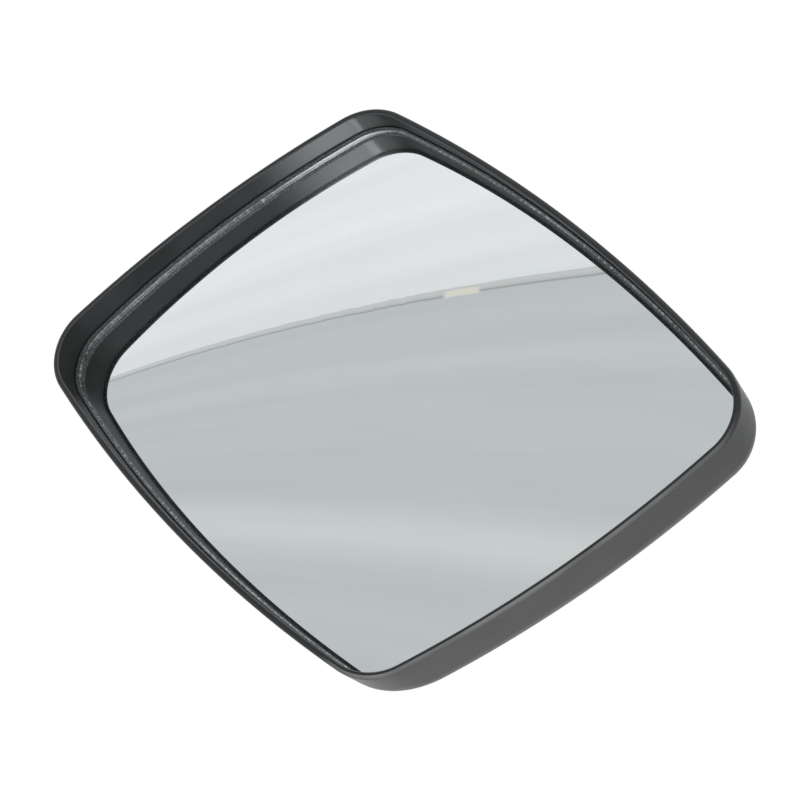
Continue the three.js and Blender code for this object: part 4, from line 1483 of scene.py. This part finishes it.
class MIRRORHEAD_OT_seat(bpy.types.Operator):
    """Turn the two halves of the ball's nylon seat"""
    bl_idname = "mirrorhead.seat"
    bl_label = "Ball seat"

    def execute(self, context):
        settings = context.scene.mirror_head
        d, nylon = depths(settings), pale_nylon(settings.colours)
        halves = (("seat_rear_half", 48, 87.5, "ball_seat_rear"),
                  ("seat_front_half", 92.5, 180, "ball_seat_front"))
        for name, first, last, node in halves:
            start, end = math.radians(first), math.radians(last)
            inside = [(p.x, p.y, 0) for p in ball_arc(d.seat_inner, start, end)]
            outside = [(p.x, p.y, 0) for p in reversed(ball_arc(d.seat_outer, start, end))]
            profile = rounded(inside + outside)
            closed = node == "ball_seat_rear"
            # The front half is whole at its pole, so its profile starts and ends on the axis
            if not closed:
                half = len(inside)
                profile = profile[half:] + profile[:half]
                profile[0].x = profile[-1].x = 0.0
            piece = turned(name, profile, 96, closed)
            finish(piece, 32, "seat", "nylon", [node], nylon)
        return {"FINISHED"}


class MIRRORHEAD_OT_stud(bpy.types.Operator):
    """Turn the ball stud and press its wave washer"""
    bl_idname = "mirrorhead.stud"
    bl_label = "Ball stud"

    def execute(self, context):
        settings = context.scene.mirror_head
        socket, colours, d = settings.socket, settings.colours, depths(settings)
        zinc = plated_zinc(colours)
        neck, wide, shank = socket.neck_radius, FIXED.collar_radius, FIXED.shank
        neck_angle = math.asin(neck / socket.ball_radius)
        ball = [(p.x, p.y, 0) for p in ball_arc(socket.ball_radius, math.pi, neck_angle, 40)]
        ball[0] = (0.0, ball[0][1], 0)
        tip = d.arm - d.groove - SEAT_GAP
        stud = turned("ball_and_stud", rounded(ball[:-1] + [
            (neck, ball[-1][1], 0.0012), (neck, d.collar, 0.0012), (wide, d.collar, 0.0007),
            (wide, d.collar_back, 0.0005), (shank, d.collar_back, 0), (shank, tip, 0.0006),
            (0, tip, 0)], closed=False), 96, False)
        finish(stud, 38, "stud", "cast", ["ball_stud"], cast_zinc(colours))
        wave = wave_ring("spring_wave", FIXED.shank_hole, wide, d.collar_back + SEAT_GAP,
                         FIXED.wave)
        finish(wave, 32, "stud", "zinc", ["wave_washer"], zinc)
        paint_nodes(zinc, "stud_nut")
        return {"FINISHED"}


class MIRRORHEAD_OT_clamp(bpy.types.Operator):
    """Make the two halves of the clamp that grips the arm"""
    bl_idname = "mirrorhead.clamp"
    bl_label = "Clamp"

    def execute(self, context):
        settings = context.scene.mirror_head
        clamp, d = settings.clamp, depths(settings)
        plastic = clamp_plastic(settings.colours)
        pocket = (clamp.bolt_across / 2 + SLIDE_GAP) * 2 / math.sqrt(3)
        base = clamp_block("clamp_body", clamp, d.clamp_front, d.base_back)
        cap = clamp_block("clamp_cover", clamp, d.cap_front, d.cap_back)
        for block, front, back in ((base, d.clamp_front, d.base_back),
                                   (cap, d.cap_front, d.cap_back)):
            carve(block, arm_groove(d.groove))
            bore(block, d.bolt_hole, front - PAST, back + PAST, 40, d.bolts)
        bore(base, pocket, d.clamp_front - PAST, d.clamp_nut_back + SEAT_GAP, 6, d.bolts,
             math.pi / 2)
        bore(base, FIXED.shank_hole, d.clamp_front - PAST, d.base_back, 40)
        bore(base, FIXED.stud_nut / math.sqrt(3) + SLIDE_GAP, d.clamp_front + FIXED.stud_nut_depth,
             d.base_back, 48)
        for block, node in ((base, "clamp_base"), (cap, "clamp_cap")):
            round_edges(block, FIXED.block_edge)
            finish(block, 35, "clamp", "housing", [node], plastic)
        return {"FINISHED"}


class MIRRORHEAD_OT_liners(bpy.types.Operator):
    """Make the two halves of the rubber sleeve between the clamp and the arm"""
    bl_idname = "mirrorhead.liners"
    bl_label = "Arm liners"

    def execute(self, context):
        settings = context.scene.mirror_head
        clamp, d = settings.clamp, depths(settings)
        rubber = dark_rubber(settings.colours)
        outer = d.groove - SEAT_GAP
        flange = outer + FIXED.liner_flange
        inner = clamp.arm_radius + FIXED.bore_gap
        flange_start = clamp.half_height + SEAT_GAP
        top = flange_start + FIXED.liner_flange
        rib, foot, crest, margin, count = 0.0004, 0.0011, 0.0006, 0.003, 9
        ribs = []
        for k in range(count):
            z = -top + margin + 2 * (top - margin) * k / (count - 1)
            ribs += [(inner + rib, z - foot, 0), (inner, z - crest, 0), (inner, z + crest, 0),
                     (inner + rib, z + foot, 0)]
        profile = rounded([
            (inner, -top, 0.0003), *ribs, (inner, top, 0.0003), (flange, top, 0.0006),
            (flange, flange_start, 0.0003), (outer, flange_start, 0),
            (outer, -flange_start, 0), (flange, -flange_start, 0.0003),
            (flange, -top, 0.0006)], steps=3)
        for name, side, node in (("liner_front_half", -1, "arm_liner_front"),
                                 ("liner_rear_half", 1, "arm_liner_rear")):
            piece = half_sleeve(name, profile, side)
            finish(piece, 35, "clamp", "rubber", [node], rubber)
        return {"FINISHED"}


class MIRRORHEAD_OT_clamp_fasteners(bpy.types.Operator):
    """Set the clamp's two bolts with their washers and nuts"""
    bl_idname = "mirrorhead.clamp_fasteners"
    bl_label = "Clamp bolts, washers and nuts"

    def execute(self, context):
        settings = context.scene.mirror_head
        clamp, d = settings.clamp, depths(settings)
        zinc = plated_zinc(settings.colours)
        front, back, wide = d.clamp_washer, d.clamp_washer + FIXED.washer, FIXED.washer_radius
        bolt = hex_bolt("clamp_bolt", clamp.bolt_across, clamp.bolt_radius, d.clamp_nut,
                        d.bolt_seat, d.bolt_seat + FIXED.bolt_head)
        washer = turned("clamp_washer", rounded([
            (d.bolt_hole, front, 0), (wide, front, 0.0003), (wide, back, 0.0005),
            (d.bolt_hole, back, 0)]), 72)
        nut = hex_nut("clamp_nut", clamp.bolt_across, d.bolt_hole, d.clamp_nut,
                      d.clamp_nut_back)
        for name, pattern, angle in (("clamp_bolt", bolt, 25), ("clamp_washer", washer, 32),
                                     ("clamp_nut", nut, 25)):
            piece = copies(name + "s", pattern, "pair", {"Spacing": clamp.bolt_spacing}, zinc)
            finish(piece, angle, "clamp", "zinc", [name + "_left", name + "_right"])
        return {"FINISHED"}


# Stage

def linear(value):
    """A display value from 0 to 255 as linear light."""
    share = value / 255
    return share / 12.92 if share <= 0.04045 else ((share + 0.055) / 1.055) ** 2.4


# What the glass sees: streaks that fan out from one way, over and under a slanted horizon
HORIZON_AXIS = (-0.5673, 0.4937, 0.6591)
STREAK_AXIS = (-0.8187, -0.4244, -0.3867)
SKY_LOW, SKY_HIGH = (219, 223, 225), (230, 233, 237)
GROUND_TONE, BAND_TONE = (189, 194, 197), (202, 207, 207)
# Soft pale bands across the ground: middle, half width and softness as angles, and strength
GROUND_BANDS = ((-0.362, 0.032, 0.03, 1.0), (-0.21, 0.02, 0.02, 0.2),
                (-0.11, 0.018, 0.018, 0.4), (-0.045, 0.012, 0.012, 0.15))
# Thin lines under the horizon: middle, half width and softness as angles, and tone
HORIZON_LINES = ((-0.0035, 0.0022, 0.001, (196, 199, 198)),
                 (-0.0105, 0.0014, 0.0014, (160, 164, 163)))
# A small card there: middle, half width and softness across and along, and tone
CARD_ACROSS, CARD_ALONG = (-0.0085, 0.0048, 0.0014), (0.7736, 0.01, 0.0014)
CARD_TONE = (215, 214, 204)
# Angles over which the sky brightens, and half the horizon's softness
SKY_FADE, HORIZON_EDGE = 0.13, 0.0006
# Fine streaks near the streaks' way and soft patches away from it: scales and tones
STREAKS_ACROSS, STREAKS_ALONG, STREAK_TONES = 26.0, 4.0, (0.965, 1.03)
PATCH_SCALE, PATCH_TONES, PATCHES_FROM = 3.2, (0.6, 1.25), (0.55, 0.25)
# Room behind the head: dark above and light below, and where each of them sets in
ROOM_HIGH, ROOM_LOW = (0.6, 0.61, 0.62), (1.05, 1.05, 1.05)
ROOM_HEIGHT, ROOM_DEPTH = (0.45, -0.3), (-0.45, 0.1)
# What second reflections alone see: way, outer and inner angle, and change of strength
INNER_LIGHTS = (((-0.02, -0.84, 0.54), 0.5, 0.25, -0.7),
                ((0.46, -0.785, -0.4), 0.28, 0.155, 5.2))

# The floor's middle, and the shares of its radius between which it fades
FLOOR_PLACE, FLOOR_FADE = (0.0, -0.04), (0.55, 0.98)
# The camera's place and its axes
VIEW_PLACE = (0.52959, -0.84399, -0.00044)
VIEW_RIGHT, VIEW_UP = (0.61423, 0.41636, 0.67035), (-0.55304, -0.37883, 0.74204)
VIEW_AHEAD = (-0.56291, 0.82652, 0.00243)
# Soft lamps: place, aim, size and share of the lamp power
LAMPS = (("Overhead lamp", (-0.1, 0.1, 1.9), (0, -0.05, 0), 1.2, 1.6),
         ("Side lamp", (1.5, -0.8, -0.25), (0, -0.05, 0), 0.6, 0.45),
         ("Rear lamp", (-1.1, 1.5, 0.5), (0, 0, 0), 1.0, 1.2))


def near(tree, value, centre, half, edge):
    """One where a value lies within half of the centre, falling softly to zero."""
    away = maths(tree, "ABSOLUTE", maths(tree, "SUBTRACT", value, centre), 0.0)
    return ranged(tree, away, half + edge, half - edge, smooth=True)


def display(colour):
    """A display colour from 0 to 255 as linear light."""
    return tuple(linear(c) for c in colour)


def build_world():
    """White to the camera, and to everything else a plain studio painted by direction."""
    world = bpy.data.worlds.new("Soft studio")
    bpy.context.scene.world = world
    world.use_nodes = True
    tree = world.node_tree
    tree.nodes.clear()
    way = put(tree, "ShaderNodeTexCoord").outputs["Generated"]
    horizon, streak = Vector(HORIZON_AXIS), Vector(STREAK_AXIS)
    along = toward(tree, way, streak.normalized())
    ahead = toward(tree, way, horizon.cross(streak).normalized())
    angle = maths(tree, "ARCTAN2", toward(tree, way, horizon.normalized()), ahead)
    banded = 0.0
    for *band, strength in GROUND_BANDS:
        banded = maths(tree, "MULTIPLY_ADD", near(tree, angle, *band), strength, banded)
    ground = mix_colour(tree, banded, display(GROUND_TONE), display(BAND_TONE))
    for *line, tone in HORIZON_LINES:
        ground = mix_colour(tree, near(tree, angle, *line), ground, display(tone))
    card = times(tree, near(tree, angle, *CARD_ACROSS), near(tree, along, *CARD_ALONG))
    ground = mix_colour(tree, card, ground, display(CARD_TONE))
    sky = mix_colour(tree, ranged(tree, angle, 0.0, SKY_FADE), display(SKY_LOW),
                     display(SKY_HIGH))
    seen = mix_colour(tree, ranged(tree, angle, -HORIZON_EDGE, HORIZON_EDGE), ground, sky)
    spread = put(tree, "ShaderNodeCombineXYZ",
                 {"X": times(tree, angle, STREAKS_ACROSS),
                  "Y": times(tree, along, STREAKS_ALONG)}).outputs[0]
    streaked = ranged(tree, noise(tree, spread, 1.0, detail=3.0), 0.3, 0.7, *STREAK_TONES)
    patched = ranged(tree, noise(tree, way, PATCH_SCALE, detail=1.0), 0.35, 0.65, *PATCH_TONES)
    shading = put(tree, "ShaderNodeMix", {0: ranged(tree, along, *PATCHES_FROM), 2: streaked,
                                          3: patched}).outputs[0]
    parts = axes(tree, way)
    room = mix_colour(tree, ranged(tree, parts["Z"], *ROOM_HEIGHT), ROOM_HIGH, ROOM_LOW)
    pale = mix_colour(tree, ranged(tree, parts["Y"], *ROOM_DEPTH), scaled(tree, seen, shading),
                      room)
    path = put(tree, "ShaderNodeLightPath").outputs
    change = 0.0
    for axis, outer, inner, strength in INNER_LIGHTS:
        share = ranged(tree, toward(tree, way, Vector(axis).normalized()), math.cos(outer),
                       math.cos(inner), 0.0, strength, True)
        change = maths(tree, "ADD", change, share)
    inside = times(tree, maths(tree, "GREATER_THAN", path["Glossy Depth"], 1.5), change)
    lit_colour = scaled(tree, pale, maths(tree, "ADD", inside, 1.0))
    white = put(tree, "ShaderNodeBackground", {"Color": (1, 1, 1, 1), "Strength": 1.0})
    lit = put(tree, "ShaderNodeBackground", {"Color": lit_colour, "Strength": 1.0})
    mixed = put(tree, "ShaderNodeMixShader",
                {0: path["Is Camera Ray"], 1: lit.outputs[0], 2: white.outputs[0]})
    put(tree, "ShaderNodeOutputWorld", {"Surface": mixed.outputs[0]})


def floor_material(radius):
    """Pale matt floor that fades out towards its edge."""
    material, tree, shader = new_material("Pale Floor")
    shader.inputs["Roughness"].default_value = 0.9
    place = object_place(tree)
    reach = put(tree, "ShaderNodeVectorMath", {0: place}, operation="LENGTH").outputs["Value"]
    start, end = (radius * share for share in FLOOR_FADE)
    fade = ranged(tree, reach, start, end, 1.0, 0.0, True)
    mottled = mix_colour(tree, noise(tree, place, 60.0), (0.9, 0.9, 0.9), (0.93, 0.93, 0.93))
    give(tree, shader, {"Base Color": mottled, "Alpha": fade})
    return material


def add_lamp(name, place, aim, size, power):
    """A soft round lamp that shines at a point."""
    lamp = bpy.data.lights.new(name, "AREA")
    lamp.shape = "DISK"
    lamp.size = size
    lamp.energy = power
    holder = bpy.data.objects.new(name, lamp)
    bpy.context.scene.collection.objects.link(holder)
    holder.location = place
    holder.rotation_euler = (Vector(aim) - Vector(place)).to_track_quat("-Z", "Y").to_euler()


class MIRRORHEAD_OT_stage(bpy.types.Operator):
    """Set the camera, the pale floor, the lamps and the world"""
    bl_idname = "mirrorhead.stage"
    bl_label = "Stage"

    def execute(self, context):
        scene = context.scene
        stage = scene.mirror_head.stage
        scene.view_settings.view_transform = "Standard"
        lens = bpy.data.cameras.new("View")
        lens.lens = stage.lens
        lens.sensor_width = 36.0
        lens.clip_start = 0.01
        camera = bpy.data.objects.new("View", lens)
        scene.collection.objects.link(camera)
        turn = Matrix((VIEW_RIGHT, VIEW_UP, -Vector(VIEW_AHEAD))).transposed()
        camera.rotation_euler = turn.to_euler()
        camera.location = VIEW_PLACE
        scene.camera = camera
        build_world()
        radius = stage.floor_radius
        rim = [(radius * math.cos(angle), radius * math.sin(angle), 0.0)
               for angle in whole_turn(96)]
        mesh = bpy.data.meshes.new("floor")
        mesh.from_pydata(rim, [], [tuple(range(len(rim)))])
        mesh.materials.append(floor_material(radius))
        floor = bpy.data.objects.new("floor", mesh)
        floor.location = (*FLOOR_PLACE, -stage.floor_drop)
        scene.collection.objects.link(floor)
        for name, place, aim, size, share in LAMPS:
            add_lamp(name, place, aim, size, stage.lamp_power * share)
        return {"FINISHED"}


class MIRRORHEAD_PT_panel(bpy.types.Panel):
    """Sidebar panel with the head's operators and sizes"""
    bl_idname = "MIRRORHEAD_PT_panel"
    bl_label = "Mirror Head"
    bl_space_type = "VIEW_3D"
    bl_region_type = "UI"
    bl_category = "Mirror Head"

    def draw(self, context):
        layout = self.layout
        column = layout.column(align=True)
        for operator in OPERATORS:
            column.operator(operator.bl_idname)
        settings = context.scene.mirror_head
        for label in ("rim", "shell", "glass", "socket", "clamp", "colours", "stage"):
            group = getattr(settings, label)
            box = layout.box()
            box.label(text=label.capitalize())
            for name in group.bl_rna.properties.keys():
                if name not in ("rna_type", "name"):
                    box.prop(group, name)


OPERATORS = [
    MIRRORHEAD_OT_stage, MIRRORHEAD_OT_housing, MIRRORHEAD_OT_glass,
    MIRRORHEAD_OT_glass_frame, MIRRORHEAD_OT_bonding_pad, MIRRORHEAD_OT_frame_screws,
    MIRRORHEAD_OT_socket, MIRRORHEAD_OT_ring_fasteners, MIRRORHEAD_OT_seat,
    MIRRORHEAD_OT_stud, MIRRORHEAD_OT_clamp, MIRRORHEAD_OT_liners,
    MIRRORHEAD_OT_clamp_fasteners,
]
CLASSES = [RimSizes, ShellSizes, GlassSizes, SocketSizes, ClampSizes, Colours, StageSettings,
           MirrorHeadSettings, *OPERATORS, MIRRORHEAD_PT_panel]


def register():
    for item in CLASSES:
        bpy.utils.register_class(item)
    bpy.types.Scene.mirror_head = PointerProperty(type=MirrorHeadSettings)


def unregister():
    del bpy.types.Scene.mirror_head
    for item in reversed(CLASSES):
        bpy.utils.unregister_class(item)


def main():
    register()
    for operator in OPERATORS:
        group, name = operator.bl_idname.split(".")
        getattr(getattr(bpy.ops, group), name)()


if __name__ == "__main__":
    main()
